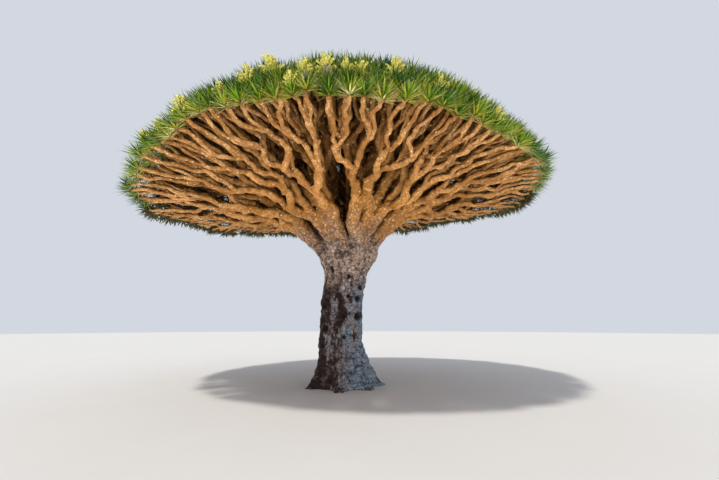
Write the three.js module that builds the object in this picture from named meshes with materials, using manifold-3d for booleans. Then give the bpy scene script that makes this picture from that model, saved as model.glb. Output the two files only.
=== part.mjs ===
// A dragon blood tree: a stout trunk, boughs that fork again and again, and an umbrella crown of stiff leaves.
// Millimetres, +Z up. The origin is the middle of the flat cut at ground level, +X is the tree's right-hand
// side and -Y is its front.

import * as THREE from "three";
import { ConvexGeometry } from "three/addons/geometries/ConvexGeometry.js";
import { mergeVertices } from "three/addons/utils/BufferGeometryUtils.js";
import Module from "manifold-3d";

// Driving dimensions of the crown: the dome that the twig tips end on
const CROWN_RADIUS = 5900; // from the crown's middle to the outermost twig tips, along X
const CROWN_DEPTH_RATIO = 0.91; // the same along Y, as a share of it
const CROWN_SHIFT = -80; // the crown's middle along X
const RIM_HEIGHT = 5400; // of the outermost twig tips above the ground
const DOME_RISE = 2780; // from the rim up to the top of the dome
const DOME_FLATNESS = 3.5; // exponent of the dome's profile: higher is flatter on top and steeper at the rim
const CROWN_TILT = 0.028; // rise of the crown per unit of X
const RIM_WAVES = [
  { height: 600, middle: 78, half: 80, fade: 45 }, // where the rim is higher or lower, with its azimuths in degrees
  { height: -380, middle: -158, half: 45, fade: 45 },
  { height: -250, middle: -50, half: 32, fade: 32 },
];
const RIM_CROWDING = 0.44; // the twigs of an evenly shared crown crowd to the rim where this is under 0.5

// Driving dimensions of the trunk
const FORK = { height: 3300, slant: 30, shift: 80, spread: 250 }; // the ring in the head that the boughs start on
const TRUNK_SIDES = 24;
const TRUNK_ROWS = 2; // between the heights below
const FLARE = { reach: 520, height: 420, ridges: 7, phase: 0.4 }; // the root flare at the ground
const RIPPLE = { depth: 26, ridges: 3, twist: 0.0011 }; // slow swellings that wind up the trunk

// The trunk's centre line and radius at a few heights
const TRUNK_PROFILE = [
  { height: 0, shift: 0, radius: 700 },
  { height: 260, shift: -30, radius: 680 },
  { height: 650, shift: -70, radius: 655 },
  { height: 1300, shift: -120, radius: 622 },
  { height: 2000, shift: -100, radius: 612 },
  { height: 2700, shift: -40, radius: 625 },
  { height: 3250, shift: 30, radius: 660 },
  { height: 3600, shift: 70, radius: 715 },
  { height: 3920, shift: 80, radius: 800 },
  { height: 4060, shift: 80, radius: 560 },
];

// How the limbs share out the crown
const SECTOR_NAMES = ["right", "back_right", "back", "back_left", "left", "front_left", "front_right"];
const SECTOR_TURN = THREE.MathUtils.degToRad(-18); // the middle of the first sector, seen from above
const RIB_BENDS = [
  { out: [0.33, 0.1], up: [0.25, 0.76] }, // as shares of the way to the dome: first mid crown, then at the rim
  { out: [0.72, 0.39], up: [0.62, 0.74] },
];
const WOOD_RADIUS = 650; // of one limb that would carry the whole crown, over a shoot's
const SHOOT_RADIUS = 20;
const PIPE_EXPONENT = 0.45; // a limb's radius goes with this power of the share of the crown that it carries
const FORK_SWELL = 1.12; // a side limb is this much thicker where it leaves its parent
const HEAD_SWELL = 1.3; // the same where a main bough leaves the trunk
const TIP_RADIUS = 62;
const FORK_DEPTH = 1.65; // a fork lies this many times the size of its part of the crown below the dome
const ROSETTE_PITCH = 1350; // parts of the crown are halved until they are smaller than this
const STRAY = { least: 45, share: 0.06, most: 130 }; // how far a fork strays from its rib: more by the part's size
const MASS_DEPTH = 2; // a part that has been halved this often is one mass of foliage, with its own bough
const BOUGH_END = 0.14; // the bough stops this share of a station short of the mass's first fork
const BOUGH_TUBE = { sides: 6, rings: 1.5 };
const STEM_TUBE = { sides: 4, rings: 1 };
const TWIG_TUBE = { sides: 3, rings: 1 };

// Leaves and blossom. A mass's twigs end in a dense layer of leaf bases, whose faces are drawn out into leaves
const CORE = { sink: 50, depth: 190, columns: 5, rows: 5 }; // the layer, under the dome of the twig tips
const CORE_HOLE = 0.05; // reach at which the innermost cores stop, short of the point where they would all meet
const LEAF = { length: 430, shortening: 0.25, spread: 0.9, scatter: 0.25 }; // out of the core
const LEAN_REACH = 520; // a leaf this far from its twig tip has its full spread
const UPWARD_LEAN = 0.25; // how much leaves turn up from the dome's normal
const CELL_MARGIN = 25; // each mass keeps this far inside its own space
const PANICLE = { share: 0.14, height: 300, radius: 85, length: 330, reach: 230 };

// Neighbours keep clear of each other
const GAP = 0.3;
const CUT_GAP = 0.45; // the same at a facet's corners, so that its flats keep about the gap

const TAU = 2 * Math.PI;
const UP = new THREE.Vector3(0, 0, 1);
const { degToRad, lerp, smoothstep } = THREE.MathUtils;
const wasm = await Module();
wasm.setup();

// A repeatable number from 0 to 1 for the k-th choice made at one part of the crown
function dice(id, k) {
  const value = Math.sin(id * 12.9898 + k * 78.233) * 43758.5453;
  return value - Math.floor(value);
}

function jitter(id, k) {
  return 2 * dice(id, k) - 1;
}

// The dome, by the share of the crown that lies further in, and by azimuth

function domeProfile(reach, azimuth) {
  const waves = RIM_WAVES.reduce((sum, wave) => sum + wave.height * waveShare(wave, azimuth), 0);
  return RIM_HEIGHT + DOME_RISE * (1 - reach ** DOME_FLATNESS) + waves * reach ** 2;
}

// A wave is full around its middle and fades away to both sides
function waveShare({ middle, half, fade }, azimuth) {
  const turn = Math.abs(turnBetween(azimuth, degToRad(middle)));
  return 1 - smoothstep(turn, degToRad(half - fade), degToRad(half));
}

function turnBetween(azimuth, other) {
  return Math.atan2(Math.sin(azimuth - other), Math.cos(azimuth - other));
}

function domePoint(share, azimuth) {
  const reach = share ** RIM_CROWDING;
  const x = CROWN_RADIUS * reach * Math.cos(azimuth);
  const y = CROWN_RADIUS * CROWN_DEPTH_RATIO * reach * Math.sin(azimuth);
  return new THREE.Vector3(CROWN_SHIFT + x, y, domeProfile(reach, azimuth) + CROWN_TILT * x);
}

function domeNormal(share, azimuth) {
  const step = 0.002;
  const low = Math.max(share - step, step);
  const start = domePoint(low, azimuth);
  const outward = domePoint(low + step, azimuth).sub(start);
  const around = domePoint(low, azimuth + step).sub(start);
  return outward.cross(around).normalize();
}

// Where a point stands over or under the dome: the reach and azimuth of the dome's nearest point
function nearestOnDome(point) {
  const x = point.x - CROWN_SHIFT;
  const y = point.y / CROWN_DEPTH_RATIO;
  const radius = Math.hypot(x, y);
  const azimuth = Math.atan2(y, x);
  const height = point.z - CROWN_TILT * x;
  const samples = 160;
  let best = { distance: Infinity };
  for (let i = 0; i <= samples; i++) {
    const reach = i / samples;
    const distance = Math.hypot(radius - CROWN_RADIUS * reach, height - domeProfile(reach, azimuth));
    if (distance < best.distance) best = { distance, reach };
  }
  return { reach: best.reach, radius, azimuth };
}

// The rib from the trunk's head to the dome. To the rim it goes up steeply and then flat, further in it sags
function ribPoint(share, azimuth, along) {
  const tip = domePoint(share, azimuth);
  const start = forkStart(azimuth);
  const outer = share ** (4 * RIM_CROWDING);
  const bends = RIB_BENDS.map(({ out, up }) => {
    const shares = new THREE.Vector3(lerp(...out, outer), lerp(...out, outer), lerp(...up, outer));
    return tip.clone().sub(start).multiply(shares).add(start);
  });
  return new THREE.CubicBezierCurve3(start, ...bends, tip).getPoint(along);
}

// The boughs on the tree's right start higher up than those on its left
function forkStart(azimuth) {
  const [side, back] = [Math.cos(azimuth), Math.sin(azimuth)];
  return new THREE.Vector3(FORK.shift + FORK.spread * side, FORK.spread * back, FORK.height + FORK.slant * side);
}

// Parts of the crown: each is a patch of the dome between two shares and two azimuths

function makePart(id, inner, outer, from, to) {
  const share = (inner + outer) / 2;
  const azimuth = (from + to) / 2;
  const portion = ((outer - inner) * (to - from)) / TAU;
  const run = domePoint(inner, azimuth).distanceTo(domePoint(outer, azimuth));
  const width = domePoint(share, from).distanceTo(domePoint(share, to));
  const radius = SHOOT_RADIUS + WOOD_RADIUS * portion ** PIPE_EXPONENT;
  return { id, inner, outer, from, to, share, azimuth, run, width, radius, size: Math.sqrt(run * width) };
}

// Halves a part across its longer side. The limb keeps the first half and its side limb gets the second
function halve(part) {
  const { id, inner, outer, from, to } = part;
  const cut = 0.5 + 0.07 * jitter(id, 1);
  if (part.run > part.width) {
    const middle = lerp(inner, outer, cut);
    return [makePart(2 * id, middle, outer, from, to), makePart(2 * id + 1, inner, middle, from, to)];
  }
  const middle = lerp(from, to, cut);
  const halves = [makePart(2 * id, inner, outer, from, middle), makePart(2 * id + 1, inner, outer, middle, to)];
  return dice(id, 2) < 0.5 ? halves : halves.reverse();
}

function depthOf(part) {
  return Math.floor(Math.log2(part.id)) - 3;
}

function sectorParts() {
  const width = TAU / SECTOR_NAMES.length;
  return SECTOR_NAMES.map((name, i) => {
    const azimuth = SECTOR_TURN + i * width;
    return makePart(8 + i, 0, 1, azimuth - width / 2, azimuth + width / 2);
  });
}

// Where the limb that serves a part forks: on the part's own rib and a little off it
function forkPoint(part) {
  const tip = domePoint(part.share, part.azimuth);
  const length = 1.08 * tip.distanceTo(forkStart(part.azimuth));
  const along = Math.max(0.1, 1 - (FORK_DEPTH * part.size) / length);
  const stray = Math.min(STRAY.most, STRAY.least + STRAY.share * part.size);
  const offset = new THREE.Vector3(jitter(part.id, 3), jitter(part.id, 4), jitter(part.id, 5));
  return ribPoint(part.share, part.azimuth, along).addScaledVector(offset, stray);
}

// A limb ends in the middle of its last part, or near the rim where that part reaches it
function tipShare(part) {
  return part.outer === 1 ? lerp(part.share, 1, 0.6) : part.share;
}

// Leaves stand along the dome's normal, turned a little upwards
function leafAxis(share, azimuth) {
  return domeNormal(share, azimuth).addScaledVector(UP, UPWARD_LEAN).normalize();
}

// Grows one limb out to its tip, through a station at each fork, and then the side limbs that leave it
function growLimb(start, part, limbs) {
  const swell = depthOf(part) === 0 ? HEAD_SWELL : FORK_SWELL;
  const limb = { part, stations: [{ point: start, radius: part.radius * swell }], massStation: 0 };
  limbs.push(limb);
  let here = part;
  while (here.size > ROSETTE_PITCH || depthOf(here) <= MASS_DEPTH) {
    const point = forkPoint(here);
    limb.stations.push({ point, radius: here.radius });
    if (depthOf(here) === MASS_DEPTH) limb.massStation = limb.stations.length - 1;
    const [main, side] = halve(here);
    growLimb(point, side, limbs);
    here = main;
  }
  limb.end = here;
  limb.mass = here.id >> (depthOf(here) - MASS_DEPTH);
  limb.tip = domePoint(tipShare(here), here.azimuth);
  limb.axis = leafAxis(tipShare(here), here.azimuth);
  const root = limb.tip.clone().addScaledVector(limb.axis, -CORE.sink - CORE.depth / 2);
  limb.stations.push({ point: root, radius: TIP_RADIUS });
}

// A tapering tube along a limb, from one station to another, each of which may be a fraction.
// It is a cylinder whose rings are moved onto the limb's curve. "grow" widens it, and "lift" moves
// its first and last rings along the curve's direction
function tubeGeometry(limb, { sides, rings, first = 0, last = limb.stations.length - 1, grow = 0, lift = [0, 0] }) {
  const { stations } = limb;
  const curve = new THREE.CatmullRomCurve3(stations.map((s) => s.point), false, "centripetal");
  const spans = stations.length - 1;
  const steps = Math.max(1, Math.ceil((last - first) * rings));
  const chord = stations[spans].point.clone().sub(stations[0].point);
  const level = new THREE.Vector3(-chord.y, chord.x, 0).normalize();
  const geometry = new THREE.CylinderGeometry(1, 1, 1, sides, steps);
  const position = geometry.getAttribute("position");
  for (let i = 0; i < position.count; i++) {
    const down = 0.5 - position.getY(i);
    const at = lerp(first, last, down);
    const before = Math.min(Math.floor(at), spans - 1);
    const radius = lerp(stations[before].radius, stations[before + 1].radius, at - before) + grow;
    const tangent = curve.getTangent(at / spans);
    const across = level.clone().addScaledVector(tangent, -level.dot(tangent)).normalize();
    const over = tangent.clone().cross(across);
    const point = curve.getPoint(at / spans);
    if (down < 1e-6) point.addScaledVector(tangent, lift[0]);
    if (down > 1 - 1e-6) point.addScaledVector(tangent, lift[1]);
    point.addScaledVector(across, position.getX(i) * radius);
    point.addScaledVector(over, position.getZ(i) * radius);
    position.setXYZ(i, point.x, point.y, point.z);
  }
  return geometry;
}

function tube(limb, shape) {
  return solidOf(tubeGeometry(limb, shape));
}

// The same for a thick limb, whose rings may cross at a sharp bend: hulls of its neighbouring rings, joined
function thickTube(limb, shape) {
  const geometry = tubeGeometry(limb, shape);
  const position = geometry.getAttribute("position");
  const { radialSegments, heightSegments } = geometry.parameters;
  const corner = (row, i) => new THREE.Vector3().fromBufferAttribute(position, row * (radialSegments + 1) + i);
  const ring = (row) => Array.from({ length: radialSegments }, (_, i) => corner(row, i));
  const hulls = Array.from({ length: heightSegments }, (_, row) => new ConvexGeometry([...ring(row), ...ring(row + 1)]));
  return fused(hulls.map(solidOf));
}

// The trunk

function trunkAt(height) {
  const next = Math.max(1, TRUNK_PROFILE.findIndex((ring) => ring.height >= height));
  const [low, high] = [TRUNK_PROFILE[next - 1], TRUNK_PROFILE[next]];
  const share = (height - low.height) / (high.height - low.height);
  return { shift: lerp(low.shift, high.shift, share), radius: lerp(low.radius, high.radius, share) };
}

function trunkRadius(height, azimuth) {
  const ridge = (0.5 + 0.5 * Math.cos(FLARE.ridges * azimuth + FLARE.phase + Math.sin(azimuth))) ** 1.5;
  const flare = FLARE.reach * Math.exp(-height / FLARE.height) * (0.3 + 0.7 * ridge);
  const ripple = RIPPLE.depth * Math.cos(RIPPLE.ridges * azimuth + RIPPLE.twist * height);
  return trunkAt(height).radius + flare + ripple;
}

function trunkSolid(grow) {
  const top = TRUNK_PROFILE.length - 1;
  const geometry = new THREE.CylinderGeometry(1, 1, 1, TRUNK_SIDES, TRUNK_ROWS * top);
  geometry.rotateX(Math.PI / 2);
  const position = geometry.getAttribute("position");
  for (let i = 0; i < position.count; i++) {
    const level = top * (position.getZ(i) + 0.5);
    const below = Math.min(Math.floor(level + 1e-6), top - 1);
    const height = lerp(TRUNK_PROFILE[below].height, TRUNK_PROFILE[below + 1].height, level - below);
    const [x, y] = [position.getX(i), position.getY(i)];
    const radius = Math.hypot(x, y) * (trunkRadius(height, Math.atan2(y, x)) + grow);
    const azimuth = Math.atan2(y, x);
    const lift = level > top - 1e-6 ? grow : 0;
    position.setXYZ(i, trunkAt(height).shift + radius * Math.cos(azimuth), radius * Math.sin(azimuth), height + lift);
  }
  return solidOf(geometry);
}

// Foliage

// Draws faces out into long three-sided points. "tipOf" gives the tip over a face's middle, or nothing
function drawnOut(geometry, tipOf) {
  const source = (geometry.index ? geometry.toNonIndexed() : geometry).getAttribute("position");
  const corners = [];
  for (let i = 0; i < source.count; i += 3) {
    const [a, b, c] = [0, 1, 2].map((k) => new THREE.Vector3().fromBufferAttribute(source, i + k));
    const tip = tipOf(new THREE.Vector3().add(a).add(b).add(c).divideScalar(3), i / 3);
    if (tip) corners.push(a, b, tip, b, c, tip, c, a, tip);
    else corners.push(a, b, c);
  }
  return new THREE.BufferGeometry().setFromPoints(corners);
}

// True where a point lies in a part's own space, clear of its neighbours'
function keepsIn(part, point) {
  const { reach, radius, azimuth } = nearestOnDome(point);
  const off = Math.abs(turnBetween(azimuth, part.azimuth));
  const inner = CROWN_RADIUS * (reach - part.inner ** RIM_CROWDING);
  const outer = part.outer === 1 ? Infinity : CROWN_RADIUS * (part.outer ** RIM_CROWDING - reach);
  const beside = radius * Math.sin(Math.max(0, (part.to - part.from) / 2 - off));
  return Math.min(beside, outer, part.inner === 0 ? Infinity : inner) > CELL_MARGIN;
}

// The core of a mass with its leaves: a slab that follows the dome. The faces on top of it are drawn out, and
// at the rim of the crown those on its outer side too
function leafyCore(part, tips) {
  const geometry = new THREE.BoxGeometry(1, 1, 1, CORE.rows, CORE.columns, 1);
  const position = geometry.getAttribute("position");
  const margin = CELL_MARGIN / CROWN_RADIUS;
  const inner = Math.max(part.inner ** RIM_CROWDING, CORE_HOLE) + margin;
  const outer = part.outer ** RIM_CROWDING - (part.outer === 1 ? 0 : margin);
  for (let i = 0; i < position.count; i++) {
    const reach = lerp(inner, outer, position.getX(i) + 0.5);
    const azimuth = lerp(part.from + margin / reach, part.to - margin / reach, position.getY(i) + 0.5);
    const share = reach ** (1 / RIM_CROWDING);
    const down = CORE.sink + CORE.depth * (0.5 - position.getZ(i));
    const point = domePoint(share, azimuth).addScaledVector(domeNormal(share, azimuth), -down);
    position.setXYZ(i, point.x, point.y, point.z);
  }
  const [outerSide, , , , top] = geometry.groups;
  const isLeafy = (i) => within(3 * i, top) || (part.outer === 1 && within(3 * i, outerSide));
  return solidOf(drawnOut(geometry, (center, i) => (isLeafy(i) ? leafTip(part, tips, center, i) : null)));
}

function within(index, group) {
  return index >= group.start && index < group.start + group.count;
}

// Leaves spread away from the nearest twig tip. One that would leave the mass's space stands straight
function leafTip(part, tips, root, i) {
  const nearest = tips.reduce((a, b) => (a.tip.distanceTo(root) < b.tip.distanceTo(root) ? a : b));
  const away = root.clone().sub(nearest.tip).projectOnPlane(nearest.axis).divideScalar(LEAN_REACH).clampLength(0, 1);
  const scatter = new THREE.Vector3(...[0, 1, 2].map((k) => jitter(part.id, 20 + 3 * i + k)));
  const length = LEAF.length * (1 - LEAF.shortening * dice(part.id, 200 + i));
  const leaning = nearest.axis.clone().addScaledVector(away, LEAF.spread).addScaledVector(scatter, LEAF.scatter);
  for (const direction of [leaning, nearest.axis.clone()]) {
    const tip = root.clone().addScaledVector(direction.normalize(), length);
    if (keepsIn(part, tip)) return tip;
  }
  return null;
}

function panicle({ tip: root, axis }, massPart) {
  const middle = root.clone().addScaledVector(axis, PANICLE.height);
  const spindle = new THREE.OctahedronGeometry(1);
  spindle.scale(PANICLE.radius, PANICLE.length, PANICLE.radius);
  spindle.applyQuaternion(new THREE.Quaternion().setFromUnitVectors(new THREE.Vector3(0, 1, 0), axis));
  spindle.translate(middle.x, middle.y, middle.z);
  const bunch = drawnOut(spindle, (center) => {
    const outward = center.sub(middle);
    const tip = outward.clone().setLength(PANICLE.reach).add(middle);
    return outward.dot(axis) > 0 && keepsIn(massPart, tip) ? tip : null;
  });
  return solidOf(bunch);
}

// Solids

function solidOf(geometry) {
  const bare = new THREE.BufferGeometry();
  bare.setAttribute("position", geometry.getAttribute("position"));
  bare.setIndex(geometry.index);
  const merged = mergeVertices(bare, 0.01);
  const vertProperties = merged.getAttribute("position").array;
  const triVerts = new Uint32Array(merged.index.array);
  return new wasm.Manifold(new wasm.Mesh({ numProp: 3, vertProperties, triVerts }));
}

function fused(solids) {
  return solids.reduce((whole, solid) => whole.add(solid));
}

// The solid less each of the others that its box meets
function cutClear(solid, others) {
  const near = others.filter((other) => boxesMeet(solid.boundingBox(), other.boundingBox()));
  return near.reduce((left, other) => left.subtract(other), solid);
}

function boxesMeet(a, b) {
  return [0, 1, 2].every((k) => a.min[k] < b.max[k] && b.min[k] < a.max[k]);
}

// The largest body, with any sealed hollow filled and any loose scrap dropped
function largestBody(solid) {
  return solid.decompose().sort((a, b) => b.volume() - a.volume())[0];
}

function meshOf(name, solid, material) {
  const { vertProperties, triVerts } = solid.getMesh();
  const geometry = new THREE.BufferGeometry();
  geometry.setAttribute("position", new THREE.BufferAttribute(vertProperties, 3));
  geometry.setIndex(new THREE.BufferAttribute(triVerts, 1));
  geometry.computeVertexNormals();
  const mesh = new THREE.Mesh(geometry, material.clone());
  mesh.name = name;
  return mesh;
}

// Names

function placeName(massId) {
  const sector = SECTOR_NAMES[(massId >> MASS_DEPTH) - 8];
  return `${sector}_${["rim_1", "rim_2", "middle", "inner"][massId % 4]}`;
}

// The whole tree

const trunkBark = new THREE.MeshStandardMaterial({ color: 0x8a7565, roughness: 0.9, metalness: 0 });
const boughBark = new THREE.MeshStandardMaterial({ color: 0xb07a48, roughness: 0.85, metalness: 0 });
const leafGreen = new THREE.MeshStandardMaterial({ color: 0x4f7a26, roughness: 0.6, metalness: 0 });

function buildTree() {
  const tree = new THREE.Group();
  const limbs = [];
  sectorParts().forEach((part) => growLimb(forkStart(part.azimuth), part, limbs));
  tree.add(meshOf("trunk", trunkSolid(0), trunkBark));

  const boughs = limbs.filter((limb) => limb.massStation > 0).sort((a, b) => depthOf(a.part) - depthOf(b.part));
  const taken = [trunkSolid(CUT_GAP)];
  for (const limb of boughs) {
    const last = limb.massStation - BOUGH_END;
    const bough = largestBody(cutClear(thickTube(limb, { ...BOUGH_TUBE, last }), taken));
    tree.add(meshOf(`bough_${placeName(limb.mass)}`, bough, boughBark));
    taken.push(thickTube(limb, { ...BOUGH_TUBE, last, grow: CUT_GAP, lift: [-GAP, GAP / 2] }));
  }

  const masses = boughs.map((limb) => massOf(limb, limbs));
  masses.forEach((mass, i) => {
    const earlier = masses.slice(0, i).flatMap((other) => other.grownTwigs);
    const others = masses.filter((other) => other !== mass).flatMap((other) => other.grownTwigs);
    const wood = cutClear(fused(mass.twigs), [...taken, ...earlier]);
    const leaves = cutClear(fused(mass.leaves), [...taken, ...others]);
    tree.add(meshOf(`foliage_${placeName(mass.id)}`, largestBody(wood.add(leaves)), leafGreen));
  });
  return tree;
}

// The stem, twigs, leaves and blossom that one bough carries, and the twigs grown for cutting the neighbours
function massOf(bough, limbs) {
  const id = bough.mass;
  const part = massPartOf(id);
  const first = bough.massStation - BOUGH_END;
  const stem = { ...STEM_TUBE, first, lift: [GAP, 0] };
  const own = limbs.filter((limb) => limb.mass === id);
  const grown = { grow: 2 * CUT_GAP, lift: [-GAP, GAP] };
  return {
    id,
    twigs: own.map((limb) => tube(limb, limb === bough ? stem : TWIG_TUBE)),
    grownTwigs: own.map((limb) => tube(limb, limb === bough ? { ...stem, ...grown } : { ...TWIG_TUBE, ...grown })),
    leaves: [leafyCore(part, own), ...own.filter(hasPanicle).map((limb) => panicle(limb, part))],
  };
}

function hasPanicle(limb) {
  return dice(limb.end.id, 7) < PANICLE.share;
}

// The part of the crown that a mass fills, found again from its number
function massPartOf(id) {
  let parts = sectorParts();
  for (let depth = 0; depth < MASS_DEPTH; depth++) parts = parts.flatMap(halve);
  return parts.find((part) => part.id === id);
}

export default buildTree();
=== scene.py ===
"""A dragon blood tree, dressed around its solids: a knobbly trunk that melts into its boughs, twigs that
fork again and again on their way to the crown's dome, and a rosette of stiff leaves on each twig tip.

Metres, +Z up. The trunk stands on the ground at the origin, and the tree's front is towards -Y.
"""

import math

import bmesh
import bpy
import numpy as np
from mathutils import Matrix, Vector, noise
from mathutils.bvhtree import BVHTree


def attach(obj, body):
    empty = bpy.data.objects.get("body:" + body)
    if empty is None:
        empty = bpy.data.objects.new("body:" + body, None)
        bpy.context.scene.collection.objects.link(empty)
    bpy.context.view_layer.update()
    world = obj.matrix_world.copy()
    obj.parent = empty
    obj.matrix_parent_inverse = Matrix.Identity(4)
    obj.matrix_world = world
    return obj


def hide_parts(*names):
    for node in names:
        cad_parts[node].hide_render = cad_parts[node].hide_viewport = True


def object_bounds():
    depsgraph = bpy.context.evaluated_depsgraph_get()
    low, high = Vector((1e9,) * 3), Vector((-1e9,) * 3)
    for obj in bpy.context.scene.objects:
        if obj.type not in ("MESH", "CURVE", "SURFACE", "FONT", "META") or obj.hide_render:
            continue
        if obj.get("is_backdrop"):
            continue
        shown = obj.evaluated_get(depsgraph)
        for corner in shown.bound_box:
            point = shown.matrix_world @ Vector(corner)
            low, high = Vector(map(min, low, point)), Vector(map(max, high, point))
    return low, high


bl_info = {
    "name": "Dragon Blood Tree",
    "version": (1, 0, 0),
    "blender": (4, 5, 0),
    "location": "3D Viewport > Sidebar > Tree",
    "description": "Builds the bark, twigs, leaves and blossom of a dragon blood tree",
    "category": "Object",
}

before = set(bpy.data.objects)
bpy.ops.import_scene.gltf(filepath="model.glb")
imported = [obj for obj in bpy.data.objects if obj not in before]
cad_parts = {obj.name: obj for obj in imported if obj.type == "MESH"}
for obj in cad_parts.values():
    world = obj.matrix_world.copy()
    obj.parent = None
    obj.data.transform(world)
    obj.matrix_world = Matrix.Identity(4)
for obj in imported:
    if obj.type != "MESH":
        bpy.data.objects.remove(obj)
cad_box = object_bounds()

TAU = 2 * math.pi
UP = Vector((0, 0, 1))
GOLDEN_ANGLE = math.pi * (3 - math.sqrt(5))
IMAGE_WIDTH = 719

# A number and a choice are scrambled into a value from 0 to 1 by these
DICE_NUMBER = 12.9898
DICE_CHOICE = 78.233
DICE_SPREAD = 43758.5453
# The choices that are made at each part, rosette or scar
CHOOSE_CUT = 1
CHOOSE_ORDER = 2
CHOOSE_STRAY = (3, 4, 5)
CHOOSE_BLOSSOM = 7
CHOOSE_DRY = 8
CHOOSE_SCALE = 9
CHOOSE_TURN = 11
CHOOSE_YELLOW = 31
CHOOSE_AZIMUTH = 51
CHOOSE_HEIGHT = 52
CHOOSE_RADIUS = 53

# The trunk's centre line and radius at a few heights: height, shift along X, radius
TRUNK_PROFILE = (
    (-0.15, 0.0, 0.7),
    (0.0, 0.0, 0.7),
    (0.26, -0.03, 0.68),
    (0.65, -0.07, 0.655),
    (1.3, -0.12, 0.622),
    (2.0, -0.1, 0.612),
    (2.7, -0.04, 0.625),
    (3.25, 0.03, 0.66),
    (3.6, 0.05, 0.67),
    (3.92, 0.04, 0.62),
    (4.06, 0.04, 0.42),
)
# Where the rim is higher or lower: height, and the middle, half and fade of its turn in degrees
RIM_WAVES = (
    (0.52, 78, 80, 45),
    (-0.38, -158, 45, 45),
    (-0.25, -50, 32, 32),
)
# The two handles of a rib, each as a level and an upright share of the way from its root to its tip: first
# for a rib to the top of the dome and then for one to the rim
FIRST_HANDLES = ((0.33, 0.25), (0.1, 0.76))
SECOND_HANDLES = ((0.72, 0.62), (0.39, 0.74))
# The higher, the nearer to the rim ribs turn from the one shape to the other
HANDLE_EXPONENT = 4
# A rib is this many times as long as the straight way
RIB_BEND = 1.08
# No limb forks before this share of its rib
FIRST_FORK = 0.1
# Parts aren't halved right in the middle, and the outermost twig tips move this share of the way to the rim
CUT_STRAY = 0.07
TIP_SHIFT = 0.6
# The root flare: where its ridges stand, how sharp they are, and how much of it stands between them
RIDGE_TURN = 0.4
RIDGE_SHARPNESS = 1.5
FLARE_BETWEEN = 0.3
# The trunk isn't quite round: how far it bulges, in how many lobes, and how fast they turn with its height
BULGE = 0.026
BULGE_LOBES = 3
BULGE_TWIST = 1.1
# The side of the tree that each sector of the crown belongs to, and the number of the first sector's part
SECTOR_SIDES = ("right", "back", "back", "back", "left", "front", "front")
SECTORS = len(SECTOR_SIDES)
FIRST_SECTOR = 8
# The pieces of wood, which keep the ground's light from one another
WOOD_PIECES = ("trunk_and_boughs", "twigs_front", "twigs_left", "twigs_right", "twigs_back")
# No joined piece has more triangles than this
MOST_TRIANGLES = 190000
# Bends of the limbs: the size of each in metres and how strong it is, how far from the trunk's middle they
# start, and over what run they grow to their full
WANDER_SIZES = ((0.9, 1.0), (0.36, 0.5), (0.2, 0.3))
WANDER_START = 0.7
WANDER_RUN = 1.6
NOISE_OFFSETS = (Vector((3.1, 7.7, 1.9)), Vector((31.7, 12.3, 5.9)), Vector((8.1, 44.6, 27.2)))
# Stations of a limb stand this far apart in a bough and in a twig
BOUGH_SPACING = 0.1
TWIG_SPACING = 0.07
# Twigs thicker than this have more sides
THICK_TWIG = 0.07
THICK_SIDES = 9
THIN_SIDES = 7
# How strong and how wide the swellings along a twig are
TWIG_KNOBS = 0.55
TWIG_KNOB_SIZE = 0.12
# Bumps of the bark: how wide they are and how high they stand
TRUNK_KNOBS = ((0.26, 0.06), (0.1, 0.03))
BOUGH_KNUCKLES = ((0.15, 0.034), (0.07, 0.014))
FOLD_SIZE = 0.3
FOLD_DEPTH = 0.07
# The trunk's relief gives way to the boughs' over the last stretch under this height
BARK_CHANGE = 4.5
BARK_FADE = 1.2
# Rays that look for open ground from just off the wood: how many, how far, and from nearly level to steep
GROUND_RAYS = 14
RAY_START = 0.02
RAY_REACH = 1.6
RAY_DROPS = (0.2, 0.95)

# Scars of fallen boughs on the trunk's front: azimuth in degrees, height and radius
SCARS = (
    (-132, 3.25, 0.1),
    (-82, 3.02, 0.07),
    (-45, 2.72, 0.09),
    (-76, 2.46, 0.07),
    (-51, 2.4, 0.1),
    (-148, 2.2, 0.12),
    (-45, 1.9, 0.13),
    (-84, 1.9, 0.08),
    (-134, 1.55, 0.12),
    (-81, 1.33, 0.07),
    (-142, 1.1, 0.1),
)
# Heights and radii of the scars behind, and a height that no scar reaches
SCAR_HEIGHTS = (0.9, 3.2)
SCAR_RADII = (0.07, 0.13)
SCARLESS_HEIGHT = 3.6
# A scar's hollow, its swollen lip and its dark stain, all in its radii
HOLLOW_WIDTH = 0.62
HOLLOW_DEPTH = 0.5
LIP_PLACE = 1.15
LIP_WIDTH = 0.4
LIP_HEIGHT = 0.35
STAIN_WIDTH = 1.1
SCAR_REACH = 2.2

# Rosettes near the front of the rim that carry panicles: azimuth in degrees, share of the crown further in
OPEN_PANICLES = (
    (-131, 0.98),
    (-131, 0.92),
    (-120, 0.98),
    (-113, 0.93),
    (-108, 0.9),
    (-103, 0.86),
    (-99, 0.98),
    (-98, 0.9),
    (-93, 0.84),
    (-89, 0.84),
    (-86, 0.88),
    (-81, 0.86),
    (-73, 0.93),
    (-58, 0.96),
    (-56, 0.92),
)
DRY_PANICLES = (
    (-96, 0.95),
    (-94, 0.92),
    (-40, 0.9),
)
# The front half has fewer of the panicles that chance deals out, and none near its rim. A few are dry
FRONT_BLOSSOM = 0.4
BARE_RIM = 0.8
DRY_PART = 0.15
# How large panicles are by chance, and how much they turn up
PANICLE_SCALES = (0.8, 1.1)
PANICLE_LEAN = 0.5
# Directions that the first branch of a panicle and the first leaf of a rosette are laid out from
PANICLE_START = Vector((0.3, 0.9, 0.1))
ROSETTE_START = (0.31, 0.95, 0.02)
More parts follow.
